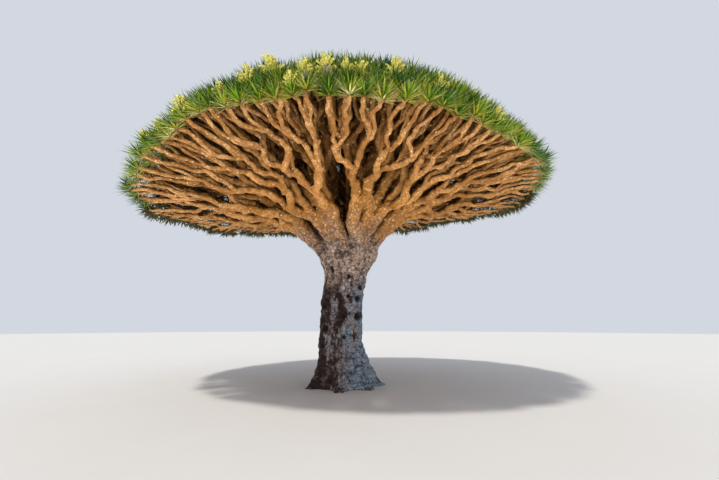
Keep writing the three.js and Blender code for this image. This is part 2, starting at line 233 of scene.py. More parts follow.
# Radii of a panicle's stalk and of its branches, at root and end, and how many sides each has
STALK_RADII = (0.012, 0.006)
STALK_SIDES = 4
BRANCH_RADII = (0.005, 0.003)
BRANCH_SIDES = 3
# From the lowest branch to the top one: its tilt from the stalk, and where along the stalk it starts
BRANCH_TILTS = (1.5, 0.1)
TILT_EXPONENT = 1.5
BRANCH_STARTS = (0.72, 1)
# How far a branch's tilt scatters, and how long it is by chance
BRANCH_SCATTER = 0.15
BRANCH_LENGTHS = (0.6, 1.25)
# From the first bud to the last: its place along the branch. Then a bud's size, how far it is pushed out by
# its size, and how far it scatters
BUD_PLACES = (0.15, 1.05)
BUD_SIZE = 0.016
BUD_LIFT = 0.6
BUD_SCATTER = 0.008

# Rows of three corners across a leaf: how far along it each is, its half width and its share of the droop
LEAF_ROWS = (
    (0.0, 0.34, 0.0),
    (0.42, 0.5, 0.35),
)
# How deep a blade's channel is, by its width, and how narrow the short and how broad the long leaves get
LEAF_CHANNEL = 0.22
LEAF_BREADTHS = (0.7, 1.1)
LEAF_TRIANGLES = ((0, 1, 4), (0, 4, 3), (1, 2, 5), (1, 5, 4), (3, 4, 6), (4, 5, 6))
# The leaf's corners on its map: across it, and along it
LEAF_MAP = [(across, row[0]) for row in LEAF_ROWS for across in (0, 0.5, 1)] + [(0.5, 1)]
# Where a rosette's leaves start: up its axis while young, down from its tip, and out from the axis
LEAF_RISE = 0.07
LEAF_SINK = 0.04
LEAF_RING = 0.028
# How far the leaves' tilt and turn scatter
TILT_SCATTER = 0.07
TURN_SCATTER = 0.12
# Shares of a leaf's full length: what the oldest leaves have, what those of middle age gain, how far on the
# way to middle age the youngest are, and what chance makes of it
SHORTEST = 0.78
MIDDLE_GAIN = 0.22
YOUNG_START = 0.15
LENGTH_CHANCES = (0.86, 1.08)
# Old leaves are shorter behind this line, and all leaves towards the crown's two sides
BACK_LINE = 1.5
BACK_LENGTH = 0.8
SIDE_LOSS = 0.2
# Rosettes change over these stretches of the crown: where each starts and how long it is
RIM_FILLING = (0.7, 0.25)
RIM_CLOSING = (0.8, 0.15)
TOWARDS_FRONT = (0.5, 2.0)
TOWARDS_SIDES = (3.6, 1.6)
# What makes a leaf yellower: its age, chance, its rosette, and less of it at the crown's two sides, where
# the deeper greens are painted shade
AGE_WEIGHT = 0.42
CHANCE_WEIGHT = 0.3
ROSETTE_WEIGHT = 0.38
SIDE_WEIGHT = 0.3
# The greens from the youngest leaves on, each with the yellowness that it ends at
GREENS = (
    ("deep", 0.36),
    ("fresh", 0.56),
    ("yellowing", 0.76),
    # The pale leaves are partly bleached and partly painted highlights of sunlit leaves
    ("pale", math.inf),
)
# Old leaves lie in the shade further in than this share of the rim's reach, and behind this line, and are
# painted dark as shade
SHADED_RIM = 0.9
SHADED_BACK = -1.0
# The age from which leaves are old, and how much sooner those at the two sides are, so that more of them
# there are painted dark as shade
OLD = 0.55
SOONER_AT_SIDES = 0.15
# The age and the chance from which leaves out of the shade are dry
DRY_AGE = 0.93
DRY_CHANCE = 0.35

# What a leaf's point fades to, and what its darker stretches are multiplied by
BLEACHED = (0.5, 0.5, 0.2)
DULLED = (0.55, 0.6, 0.5)
# Distances from the trunk's middle between which the boughs turn paler, painted light of the better-lit
# limbs at the rim
PALER_BOUGHS = (2.0, 5.6)
# Heights between which the trunk's bark turns pale at its head, and then gives way to the boughs'
HEAD_BARK = (2.4, 3.3)
BOUGH_BARK = (3.8, 4.8)
# Depths of the fine relief
TWIG_RELIEF = 0.03
TRUNK_RELIEF = 0.065
LEAF_RELIEF = 0.001
BLOSSOM_RELIEF = 0.004
# Scales of the patterns in the bark
TWIG_GRAIN = 15.0
TWIG_SPECKLE = 10.0
TRUNK_GRAIN = 9.0
TRUNK_SPECKLE = 16.0
TRUNK_BLOTS = 5.5
TRUNK_DRIFT = 3.4
# Scales of the patterns on leaves, blossom and floor
LEAF_SHADES = 5.0
LEAF_RIBS = 2.5
BLOSSOM_SHADES = 24.0
FLOOR_SHADES = 0.6

# Where the lights stand and what they are aimed at
KEY_PLACE = (-5, -7, 20)
KEY_TARGET = (0, 0, 4)
RING_LIGHTS = 8
RING_REACH = 11.5
RING_HEIGHT = 0.1
RING_SIZE = 4
RING_TARGET = (0, 0, 6)
FILL_PLACE = (0, -2.5, 0.05)
FILL_SIZE = 15
FILL_TARGET = (0, -2.4, 6)
FLOOR_RADIUS = 90
FLOOR_SIDES = 96


# Settings


def number_setting(name, description, default, **kind):
    return bpy.props.FloatProperty(name=name, description=description, default=default, **kind)


def length_setting(name, description, default):
    return number_setting(name, description, default, unit="LENGTH")


def power_setting(name, description, default):
    return number_setting(name, description, default, unit="POWER")


def angle_setting(name, description, degrees):
    return number_setting(name, description, math.radians(degrees), subtype="ANGLE")


def count_setting(name, description, default):
    return bpy.props.IntProperty(name=name, description=description, default=default)


def color_setting(name, description, default):
    return bpy.props.FloatVectorProperty(
        name=name, description=description, default=default, subtype="COLOR"
    )


class CrownSettings(bpy.types.PropertyGroup):
    """The dome that the twig tips end on, and how its limbs fork"""

    radius: length_setting("Radius", "From the crown's middle to its outermost twig tips", 5.86)
    depth_ratio: number_setting("Depth ratio", "Depth of the crown as a share of its width", 0.91)
    rim_height: length_setting("Rim height", "Height of the outermost twig tips", 5.4)
    dome_rise: length_setting("Dome rise", "From the rim up to the dome's top", 2.78)
    flatness: number_setting("Flatness", "Exponent of the dome: higher is flatter on top", 3.5)
    tilt: number_setting("Tilt", "Rise of the crown per unit of X", 0.028)
    crowding: number_setting("Rim crowding", "Under 0.5 the twigs crowd to the rim", 0.44)
    first_azimuth: angle_setting("First azimuth", "Middle of the first sector", -18)
    pitch: length_setting("Rosette pitch", "Parts are halved until they are smaller", 0.4)
    fork_depth: number_setting(
        "Fork depth", "Depth of a fork under the dome, as a share of its part's size", 1.65
    )
    waves: number_setting("Rim waves", "Share of the rim's rises and falls", 1.0)
    shift: length_setting("Shift", "Middle of the crown along X", -0.05)
    stray: length_setting("Fork stray", "How far any fork strays from its rib", 0.045)
    stray_share: number_setting("Fork stray share", "How much further, by its part's size", 0.06)
    most_stray: length_setting("Most stray", "The furthest that a fork strays", 0.13)
    head_stray: number_setting("Head stray", "Share of it that is left at the trunk's head", 0.1)
    upward_lean: number_setting("Upward lean", "How much rosettes turn up from the dome's normal", 0.25)


class WoodSettings(bpy.types.PropertyGroup):
    """The trunk and the limbs"""

    fork_height: length_setting("Fork height", "Middle of the boughs' roots", 3.3)
    fork_slant: length_setting("Fork slant", "How much higher the right boughs start", 0.03)
    fork_shift: length_setting("Fork shift", "Middle of the boughs' roots along X", 0.08)
    fork_spread: length_setting("Fork spread", "How far the roots stand from it", 0.25)
    radius: length_setting("Wood radius", "Of one limb that would carry the crown", 0.65)
    pipe_exponent: number_setting("Pipe exponent", "Radius goes with this power of the crown carried", 0.45)
    shoot_radius: length_setting("Shoot radius", "Added to every limb's radius", 0.02)
    fork_swell: number_setting("Fork swell", "How much thicker a side limb starts", 1.12)
    head_swell: number_setting("Head swell", "How much thicker a bough starts at the trunk", 1.1)
    bough_swell: number_setting("Bough swell", "How much thicker the boughs are, less at each fork", 0.28)
    swollen_forks: count_setting("Swollen forks", "Forks along which the boughs are thicker", 4)
    bough_limit: length_setting("Bough limit", "Limbs thicker than this melt into the trunk", 0.15)
    twig_radius: length_setting("Twig radius", "At the root of a rosette", 0.04)
    wander: length_setting("Wander", "How far limbs wander from their ribs", 0.14)
    voxel: length_setting("Voxel", "Fineness of the trunk and boughs", 0.033)
    flare_reach: length_setting("Flare reach", "How far the root flare stands out", 0.52)
    flare_height: length_setting("Flare height", "How fast the root flare dies away", 0.42)
    flare_ridges: count_setting("Flare ridges", "Ridges of the root flare", 7)
    bark_ochre: color_setting("Bough ochre", "Lit bark of the boughs", (0.75, 0.385, 0.13))
    bark_umber: color_setting("Bough umber", "Bark in the boughs' furrows", (0.3, 0.12, 0.02))
    # Bough tan is painted light: the paler bark of the better-lit limbs towards the rim.
    bark_tan: color_setting("Bough tan", "Paler bark towards the rim", (0.76, 0.45, 0.205))
    # The pale specks are partly real specks of the bark and partly painted flecks of sunlight.
    bark_speck: color_setting("Bough specks", "Small pale specks", (0.9, 0.72, 0.5))
    # Bough shade is painted shade: the bark's colour where little of the ground's light reaches it.
    bark_painted_shade: color_setting("Bough shade", "Bark in deep shelter", (0.1, 0.04, 0.005))
    trunk_rose: color_setting("Trunk rose grey", "Bark of the trunk's right", (0.32, 0.23, 0.2))
    trunk_head: color_setting("Trunk head", "Paler bark of the head", (0.58, 0.44, 0.37))
    # Trunk dark is the old bark's own dark colour, and also painted shade on the trunk's unlit left side.
    trunk_dark: color_setting("Trunk dark", "Old dark bark", (0.02, 0.013, 0.014))
    # Trunk slate is painted skylight: grey bark tinted blue where the sky lights it.
    trunk_skylit_slate: color_setting("Trunk slate", "Blue-grey patches", (0.21, 0.28, 0.37))


class LeafSettings(bpy.types.PropertyGroup):
    """The rosettes of leaves"""

    rim_count: count_setting("Rim leaves", "Leaves of a rosette at the rim", 58)
    top_count: count_setting("Top leaves", "Leaves of a rosette on top", 50)
    length: length_setting("Length", "Of a full leaf", 0.42)
    width: length_setting("Width", "Of a full leaf", 0.034)
    shaded_width: number_setting("Shaded width", "How much broader the old leaves under the crown are", 2.3)
    widest_tilt: angle_setting("Widest tilt", "Of a rosette's lowest leaves", 88)
    inner_tilt: angle_setting("Inner tilt", "The same away from the rim", 125)
    droop: number_setting("Droop", "Sag of a leaf's tip, by its length", 0.08)
    deep: color_setting("Deep green", "Young upright leaves", (0.03, 0.125, 0.006))
    fresh: color_setting("Fresh green", "Full leaves", (0.2, 0.34, 0.012))
    yellowing: color_setting("Yellow green", "Older leaves", (0.5, 0.5, 0.06))
    # Pale is partly bleached leaves and partly a painted highlight of sunlit ones.
    pale: color_setting("Pale", "Bleached leaves", (0.85, 0.84, 0.4))
    # Shaded is painted shade: old leaves under the crown and at its back, coloured dark for the shade they
    # hang in.
    shaded: color_setting("Shaded", "Old leaves under the crown", (0.048, 0.055, 0.01))
    straw: color_setting("Straw", "Dry lowest leaves", (0.5, 0.36, 0.16))
    rust: color_setting("Rust", "Roots of all leaves", (0.3, 0.12, 0.04))


class BlossomSettings(bpy.types.PropertyGroup):
    """The panicles of small flowers that stand on some rosettes"""

    size: length_setting("Size", "Length of a branch", 0.165)
    stalk: length_setting("Stalk", "Length of the stalk", 0.26)
    branches: count_setting("Branches", "On one panicle", 20)
    buds: count_setting("Buds", "On one branch", 16)
    share: number_setting("Share", "Rosettes that carry blossom", 0.04)
    dry_scale: number_setting("Dry scale", "Size of a dry panicle", 0.65)
    fresh: color_setting("Fresh blossom", "Open flowers", (0.93, 0.87, 0.24))
    dry: color_setting("Dry panicle", "Last year's flowers", (0.55, 0.48, 0.36))


class StageSettings(bpy.types.PropertyGroup):
    """Camera, light and floor"""

    eye_height: length_setting("Eye height", "Of the camera over the ground", 1.64)
    distance: length_setting("Distance", "From the camera to the trunk", 10.0)
    pitch: angle_setting("Pitch", "How far the camera looks up", 14.82)
    yaw: angle_setting("Yaw", "How far it looks to the right", 2.47)
    focal_pixels: number_setting("Focal length", "In pixels of the image's width", 323.4)
    floor_color: color_setting("Floor", "Pale floor", (0.62, 0.61, 0.6))
    sky_color: color_setting("Surroundings", "Pale studio surroundings", (0.86, 0.91, 1.0))
    sky_strength: number_setting("Surroundings' strength", "Soft light", 0.75)
    key_strength: number_setting("Key strength", "Light from above", 2.6)
    fill_power: power_setting("Fill power", "Light from right under the crown", 440.0)
    ring_power: power_setting("Ring power", "Of a low light in front of the tree", 395.0)
    side_share: number_setting("Side share", "How strong the low lights beside and behind it are", 0.5)
    key_color: color_setting("Key colour", "Warm white light from above", (1.0, 0.96, 0.88))
    ring_color: color_setting("Ring colour", "Warm low lights", (1.0, 0.9, 0.76))
    fill_color: color_setting("Fill colour", "Warm light under the crown", (1.0, 0.9, 0.78))


# Repeatable choices


def dice(number, choice):
    """A repeatable value from 0 to 1 for one choice made at one part of the crown."""
    value = math.sin(number * DICE_NUMBER + choice * DICE_CHOICE) * DICE_SPREAD
    return value - math.floor(value)


def jitter(number, choice):
    return 2 * dice(number, choice) - 1


def mix(start, end, share):
    return start + (end - start) * share


def ramp(value, start, run):
    """From 0 at the start to 1 at the end of a run."""
    return min(1.0, max(0.0, (value - start) / run))


# The dome of the crown, by the share of the crown that lies further in and by azimuth


def wave_share(middle, half, fade, azimuth):
    """A wave is full around its middle and fades away to both sides."""
    turn = abs(math.degrees(math.remainder(azimuth - math.radians(middle), TAU)))
    share = ramp(half - turn, 0, fade)
    return share * share * (3 - 2 * share)


def dome_height(crown, reach, azimuth):
    waves = sum(height * wave_share(*turn, azimuth) for height, *turn in RIM_WAVES) * crown.waves
    return crown.rim_height + crown.dome_rise * (1 - reach**crown.flatness) + waves * reach**2


def dome_point(crown, share, azimuth):
    reach = share**crown.crowding
    x = crown.radius * reach * math.cos(azimuth)
    y = crown.radius * crown.depth_ratio * reach * math.sin(azimuth)
    return Vector((crown.shift + x, y, dome_height(crown, reach, azimuth) + crown.tilt * x))


def dome_normal(crown, share, azimuth):
    step = 0.002
    low = max(share - step, step)
    start = dome_point(crown, low, azimuth)
    outward = dome_point(crown, low + step, azimuth) - start
    around = dome_point(crown, low, azimuth + step) - start
    return outward.cross(around).normalized()


def fork_start(wood, azimuth):
    """The boughs on the tree's right start higher up than those on its left."""
    side, back = math.cos(azimuth), math.sin(azimuth)
    height = wood.fork_height + wood.fork_slant * side
    return Vector((wood.fork_shift + wood.fork_spread * side, wood.fork_spread * back, height))


def rib_handle(start, tip, handles, outer):
    level, upright = (mix(inner_share, rim_share, outer) for inner_share, rim_share in zip(*handles))
    return start + (tip - start) * Vector((level, level, upright))


def rib_point(tree, share, azimuth, along):
    """The rib from the trunk's head to the dome: steep and then flat if it leads to the rim, or sagging."""
    tip = dome_point(tree.crown, share, azimuth)
    start = fork_start(tree.wood, azimuth)
    outer = share ** (HANDLE_EXPONENT * tree.crown.crowding)
    first = rib_handle(start, tip, FIRST_HANDLES, outer)
    second = rib_handle(start, tip, SECOND_HANDLES, outer)
    points = [start, first, second, tip]
    while len(points) > 1:
        points = [low.lerp(high, along) for low, high in zip(points, points[1:])]
    return points[0]


class Part:
    """A patch of the dome between two shares and two azimuths, served by one limb."""

    def __init__(self, tree, number, inner, outer, start, end):
        self.number = number
        self.inner = inner
        self.outer = outer
        self.start = start
        self.end = end
        self.share = (inner + outer) / 2
        self.azimuth = (start + end) / 2
        crown = tree.crown
        self.run = (dome_point(crown, inner, self.azimuth) - dome_point(crown, outer, self.azimuth)).length
        self.width = (dome_point(crown, self.share, start) - dome_point(crown, self.share, end)).length
        self.size = math.sqrt(self.run * self.width)
        portion = (outer - inner) * (end - start) / TAU
        wood = tree.wood
        swell = 1 + wood.bough_swell * max(0, 1 - self.depth / wood.swollen_forks)
        self.radius = wood.shoot_radius + wood.radius * portion**wood.pipe_exponent * swell

    @property
    def depth(self):
        return int(math.log2(self.number / FIRST_SECTOR))

    @property
    def side(self):
        return SECTOR_SIDES[(self.number >> self.depth) - FIRST_SECTOR]


class Limb:
    """A path from a fork out to one twig tip, with its radius at each station."""

    def __init__(self, part, start, radius):
        self.part = part
        self.points = [start]
        self.radii = [radius]
        self.tip = None
        self.axis = None
        self.rim_share = 0.0
        self.turn = 0.0
        self.number = 0


class Tree:
    """The settings that the crown grows by, and its limbs."""

    def __init__(self, scene):
        self.crown = scene.tree_crown
        self.wood = scene.tree_wood
        self.limbs = []
        for part in sector_parts(self):
            grow_limb(self, fork_start(self.wood, part.azimuth), part)


def sector_parts(tree):
    width = TAU / SECTORS
    for i in range(SECTORS):
        azimuth = tree.crown.first_azimuth + i * width
        yield Part(tree, FIRST_SECTOR + i, 0, 1, azimuth - width / 2, azimuth + width / 2)


def halve(tree, part):
    """Halves a part across its longer side. The limb keeps the first half."""
    cut = 0.5 + CUT_STRAY * jitter(part.number, CHOOSE_CUT)
    first, second = 2 * part.number, 2 * part.number + 1
    if part.run > part.width:
        middle = mix(part.inner, part.outer, cut)
        return (
            Part(tree, first, middle, part.outer, part.start, part.end),
            Part(tree, second, part.inner, middle, part.start, part.end),
        )
    middle = mix(part.start, part.end, cut)
    halves = [
        Part(tree, first, part.inner, part.outer, part.start, middle),
        Part(tree, second, part.inner, part.outer, middle, part.end),
    ]
    return halves if dice(part.number, CHOOSE_ORDER) < 0.5 else halves[::-1]


def fork_point(tree, part):
    """Where the limb that serves a part forks: on the part's own rib and a little off it."""
    crown = tree.crown
    tip = dome_point(crown, part.share, part.azimuth)
    length = RIB_BEND * (tip - fork_start(tree.wood, part.azimuth)).length
    along = max(FIRST_FORK, 1 - crown.fork_depth * part.size / length)
    offset = Vector([jitter(part.number, choice) for choice in CHOOSE_STRAY])
    stray = min(crown.most_stray, crown.stray + crown.stray_share * part.size)
    if part.depth == 0:
        stray *= crown.head_stray
    return rib_point(tree, part.share, part.azimuth, along) + offset * stray


def grow_limb(tree, start, part):
    """Grows one limb out to its tip, with a station at each fork, and the side limbs that start there."""
    wood = tree.wood
    swell = wood.head_swell if part.depth == 0 else wood.fork_swell
    limb = Limb(part, start, part.radius * swell)
    tree.limbs.append(limb)
    here = part
    while here.size > tree.crown.pitch:
        point = fork_point(tree, here)
        limb.points.append(point)
        limb.radii.append(here.radius)
        main, side = halve(tree, here)
        grow_limb(tree, point, side)
        here = main
    share = mix(here.share, 1, TIP_SHIFT) if here.outer == 1 else here.share
    limb.number = here.number
    limb.rim_share = share
    limb.turn = math.remainder(here.azimuth, TAU)
    limb.tip = dome_point(tree.crown, share, here.azimuth)
    limb.axis = (dome_normal(tree.crown, share, here.azimuth) + UP * tree.crown.upward_lean).normalized()
    limb.points.append(limb.tip)
    limb.radii.append(wood.twig_radius)


# Tubes along limbs


def steady_noise(place):
    """A smooth vector of noise that is the same in every run."""
    return Vector([noise.noise(place + offset) for offset in NOISE_OFFSETS])


def wandered(point, amount):
    """Limbs wander slowly, and a side limb wanders with its parent because the place alone decides."""
    away = ramp(math.hypot(point.x, point.y), WANDER_START, WANDER_RUN)
    shift = Vector((0, 0, 0))
    for size, share in WANDER_SIZES:
        shift += steady_noise(point / size) * (share * amount)
    return point + shift * away


def slope(before, here, after, gap_before, gap_after):
    """The direction of a smooth curve at one of its stations, from the stations beside it."""
    across = (after - before) / (gap_before + gap_after)
    return (here - before) / gap_before - across + (after - here) / gap_after


def smooth_path(points, radii, spacing):
    """Samples of the smooth curve through the stations, and the radius at each."""
    ends = [points[0] * 2 - points[1], *points, points[-1] * 2 - points[-2]]
    samples = []
    widths = []
    for i in range(len(points) - 1):
        before, start, end, after = ends[i : i + 4]
        gaps = [max(1e-4, (b - a).length) ** 0.5 for a, b in ((before, start), (start, end), (end, after))]
        leave = slope(before, start, end, gaps[0], gaps[1]) * gaps[1]
        arrive = slope(start, end, after, gaps[1], gaps[2]) * gaps[1]
        steps = max(1, math.ceil((end - start).length / spacing))
        last = 1 if i == len(points) - 2 else 0
        for k in range(steps + last):
            t = k / steps
            bend = (1 - t) ** 2 * (1 + 2 * t) * start + t**2 * (3 - 2 * t) * end
            samples.append(bend + t * (1 - t) ** 2 * leave - t**2 * (1 - t) * arrive)
            widths.append(mix(radii[i], radii[i + 1], t))
    return samples, widths


def ring_frames(path):
    """Two directions across the path at each of its points."""
    places = np.array(path)
    tangents = np.gradient(places, axis=0)
    tangents /= np.linalg.norm(tangents, axis=1, keepdims=True)
    chord = places[-1] - places[0]
    level = np.array((-chord[1], chord[0], 0.0))
    span = np.linalg.norm(level)
    level = level / span if span > 1e-3 else np.array((1.0, 0.0, 0.0))
    across = level - tangents * (tangents @ level)[:, None]
    across /= np.linalg.norm(across, axis=1, keepdims=True)
    return places, across, np.cross(tangents, across)


def tube_arrays(path, widths, sides, knobs=0):
    """Points and triangles of one closed tube."""
    places, across, over = ring_frames(path)
    turns = np.arange(sides) * TAU / sides
    spokes = across[:, None] * np.cos(turns)[:, None] + over[:, None] * np.sin(turns)[:, None]
    radii = np.array(widths)[:, None]
    rough = places[:, None] + spokes * radii[..., None]
    swell = [[noise.noise(Vector(point) / TWIG_KNOB_SIZE) for point in ring] for ring in rough]
    radii = radii * (1 + knobs * np.array(swell))
    points = (places[:, None] + spokes * radii[..., None]).reshape(-1, 3)
    points = np.vstack([points, places[0], places[-1]])
    rings = len(places)
    corner = np.arange((rings - 1) * sides)
    beside = corner - corner % sides + (corner + 1) % sides
    walls = [
        np.stack([corner, beside, beside + sides], 1),
        np.stack([corner, beside + sides, corner + sides], 1),
    ]
    edge = np.arange(sides)
    after = (edge + 1) % sides
    top = (rings - 1) * sides
    start_cap = np.stack([after, edge, np.full(sides, rings * sides)], 1)
    end_cap = np.stack([top + edge, top + after, np.full(sides, rings * sides + 1)], 1)
    return points, np.vstack([*walls, start_cap, end_cap])


def join_arrays(chunks):
    """Joins (points, triangles) pairs into one pair."""
    points = np.vstack([chunk[0] for chunk in chunks])
    offsets = np.cumsum([0] + [len(chunk[0]) for chunk in chunks[:-1]])
    triangles = np.vstack([chunk[1] + offset for chunk, offset in zip(chunks, offsets)])
    return points, triangles


def mesh_of(name, points, triangles, smooth=True):
    mesh = bpy.data.meshes.new(name)
    mesh.vertices.add(len(points))
    mesh.vertices.foreach_set("co", points.astype(np.float32).ravel())
    mesh.loops.add(3 * len(triangles))
    mesh.loops.foreach_set("vertex_index", triangles.astype(np.int32).ravel())
    mesh.polygons.add(len(triangles))
    mesh.polygons.foreach_set("loop_start", np.arange(len(triangles), dtype=np.int32) * 3)
    mesh.polygons.foreach_set("use_smooth", np.full(len(triangles), smooth))
    mesh.update(calc_edges=True)
    mesh.validate()
    return mesh


def add_piece(name, mesh, material, nodes):
    """Adds a finished mesh to the scene as a piece that stands for the CAD nodes it covers."""
    piece = bpy.data.objects.new(name, mesh)
    bpy.context.scene.collection.objects.link(piece)
    mesh.materials.clear()
    mesh.materials.append(material)
    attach(piece, "root")
    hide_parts(*nodes)
    return piece


def nodes_named(prefix):
    return sorted(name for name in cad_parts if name.startswith(prefix))


# Trunk and boughs


def trunk_at(height):
    """The trunk's shift and radius at a height."""
    heights = [row[0] for row in TRUNK_PROFILE]
    return tuple(float(np.interp(height, heights, [row[k] for row in TRUNK_PROFILE])) for k in (1, 2))


def trunk_radius(wood, height, azimuth):
    wave = math.cos(wood.flare_ridges * azimuth + RIDGE_TURN + math.sin(azimuth))
    ridge = (0.5 + 0.5 * wave) ** RIDGE_SHARPNESS
    fading = math.exp(-max(0.0, height) / wood.flare_height)
    flare = wood.flare_reach * fading * mix(FLARE_BETWEEN, 1, ridge)
    bulge = BULGE * math.cos(BULGE_LOBES * azimuth + BULGE_TWIST * height)
    return trunk_at(height)[1] + flare + bulge


def raise_trunk(bm, wood, sides=72, step=0.06):
    """A circle that is extruded up the trunk ring by ring."""
    low, high = TRUNK_PROFILE[0][0], TRUNK_PROFILE[-1][0]
    ring = bmesh.ops.create_circle(bm, cap_ends=True, segments=sides, radius=1)["verts"]
    edges = list({edge for vert in ring for edge in vert.link_edges})
    rows = math.ceil((high - low) / step)
    turns = [math.atan2(vert.co.y, vert.co.x) for vert in ring]
    place_trunk_ring(wood, ring, turns, low)
    for row in range(1, rows + 1):
        grown = bmesh.ops.extrude_edge_only(bm, edges=edges)["geom"]
        edges = [item for item in grown if isinstance(item, bmesh.types.BMEdge)]
        new = [item for item in grown if isinstance(item, bmesh.types.BMVert)]
        previous = mix(low, high, (row - 1) / rows)
        shift = trunk_at(previous)[0]
        turns = [math.atan2(vert.co.y, vert.co.x - shift) for vert in new]
        place_trunk_ring(wood, new, turns, mix(low, high, row / rows))
    bmesh.ops.contextual_create(bm, geom=edges)


def place_trunk_ring(wood, ring, turns, height):
    shift = trunk_at(height)[0]
    for vert, turn in zip(ring, turns):
        radius = trunk_radius(wood, height, turn)
        vert.co = (shift + radius * math.cos(turn), radius * math.sin(turn), height)


def sweep(bm, path, widths, sides=14):
    """A circle that is extruded along a path ring by ring."""
    places, across, over = ring_frames(path)
    edges = None
    for place, side, top, width in zip(places, across, over, widths):
        place, side, top = Vector(place), Vector(side), Vector(top)
        if edges is None:
            ring = bmesh.ops.create_circle(bm, cap_ends=True, segments=sides, radius=1)["verts"]
            edges = list({edge for vert in ring for edge in vert.link_edges})
            spokes = {vert: vert.co.copy() for vert in ring}
        else:
            grown = bmesh.ops.extrude_edge_only(bm, edges=edges)["geom"]
            edges = [item for item in grown if isinstance(item, bmesh.types.BMEdge)]
            new = [item for item in grown if isinstance(item, bmesh.types.BMVert)]
            spokes = {vert: nearest_spoke(vert, spokes) for vert in new}
        for vert, spoke in spokes.items():
            vert.co = place + (side * spoke.x + top * spoke.y) * width
    bmesh.ops.contextual_create(bm, geom=edges)


def nearest_spoke(vert, spokes):
    """The spoke of the earlier vertex that a new one was extruded from."""
    for edge in vert.link_edges:
        other = edge.other_vert(vert)
        if other in spokes:
            return spokes[other]
    raise RuntimeError("a new ring's vertex has no vertex under it")


def bough_path(tree, limb):
    """The thick part of a limb, up to where it becomes a twig."""
    path, widths = smooth_path(limb.points, limb.radii, BOUGH_SPACING)
    path = [wandered(point, tree.wood.wander) for point in path]
    last = next((i for i, width in enumerate(widths) if width < tree.wood.bough_limit), len(widths) - 1)
    return path[: last + 2], widths[: last + 2]


def fused_wood(tree):
    """Trunk and boughs as one skin."""
    bm = bmesh.new()
    raise_trunk(bm, tree.wood)
    for limb in tree.limbs:
        if limb.radii[0] > tree.wood.bough_limit:
            path, widths = bough_path(tree, limb)
            if len(path) > 2:
                sweep(bm, path, widths)
    bmesh.ops.recalc_face_normals(bm, faces=bm.faces)
    mesh = bpy.data.meshes.new("trunk_and_boughs")
    bm.to_mesh(mesh)
    bm.free()
    return skinned(mesh, tree.wood.voxel)


def skinned(mesh, voxel):
    """One skin over overlapping closed shapes, with its creases softened."""
    body = bpy.data.objects.new("skin", mesh)
    bpy.context.scene.collection.objects.link(body)
    remesh = body.modifiers.new("Skin", "REMESH")
    remesh.mode = "VOXEL"
    remesh.voxel_size = voxel
    remesh.use_smooth_shade = True
    soften = body.modifiers.new("Soften", "SMOOTH")
    soften.factor = 0.5
    soften.iterations = 9
    graph = bpy.context.evaluated_depsgraph_get()
    skin = bpy.data.meshes.new_from_object(body.evaluated_get(graph))
    bpy.data.objects.remove(body)
    bpy.data.meshes.remove(mesh)
    return skin


def scar_places():
    """The named scars of the front and as many again behind: middle and radius of each."""
    behind = []
    for k in range(len(SCARS)):
        height = mix(*SCAR_HEIGHTS, dice(k, CHOOSE_HEIGHT))
        radius = mix(*SCAR_RADII, dice(k, CHOOSE_RADIUS))
        behind.append((180 * dice(k, CHOOSE_AZIMUTH), height, radius))
    for degrees, height, radius in (*SCARS, *behind):
        shift, reach = trunk_at(height)
        turn = math.radians(degrees)
        yield Vector((shift + reach * math.cos(turn), reach * math.sin(turn), height)), radius


def bumps(point, sizes):
    return sum(noise.noise(point / width) * height for width, height in sizes)


def bark_height(point):
    """Relief of the bark: knobs and upright folds on the trunk, knuckles on the boughs."""
    trunk = ramp(BARK_CHANGE - point.z, 0, BARK_FADE)
    folds = abs(noise.noise(Vector((point.x, point.y, 0.35 * point.z)) / FOLD_SIZE))
    knobs = bumps(point, TRUNK_KNOBS) - folds * FOLD_DEPTH
    return trunk * knobs + (1 - trunk) * bumps(point, BOUGH_KNUCKLES)


def scar_height(away):
    """A scar's hollow and the swollen lip round it, in its radii, at a distance in its radii."""
    hollow = math.exp(-((away / HOLLOW_WIDTH) ** 4))
    lip = math.exp(-(((away - LIP_PLACE) / LIP_WIDTH) ** 2))
    return LIP_HEIGHT * lip - HOLLOW_DEPTH * hollow


def roughened(mesh):
    """Moves a skin's vertices by the relief of the bark, and marks how near each is to a scar's middle."""
    normals = [vert.normal.copy() for vert in mesh.vertices]
    scars = list(scar_places())
    marks = np.zeros(len(mesh.vertices), np.float32)
    for i, (vert, normal) in enumerate(zip(mesh.vertices, normals)):
        relief = bark_height(vert.co)
        for middle, radius in scars if vert.co.z < SCARLESS_HEIGHT else ():
            away = (vert.co - middle).length / radius
            if away < SCAR_REACH:
                relief += radius * scar_height(away)
                marks[i] = max(marks[i], math.exp(-((away / STAIN_WIDTH) ** 2)))
        vert.co += normal * relief
    mesh.attributes.new("scar", "FLOAT", "POINT").data.foreach_set("value", marks)


def cut_at_ground(mesh):
    bm = bmesh.new()
    bm.from_mesh(mesh)
    geometry = [*bm.verts, *bm.edges, *bm.faces]
    cut = bmesh.ops.bisect_plane(bm, geom=geometry, plane_co=(0, 0, 0), plane_no=UP, clear_inner=True)
    rim = [item for item in cut["geom_cut"] if isinstance(item, bmesh.types.BMEdge)]
    bmesh.ops.contextual_create(bm, geom=rim)
    bmesh.ops.recalc_face_normals(bm, faces=bm.faces)
    bm.to_mesh(mesh)
    bm.free()


# Twigs


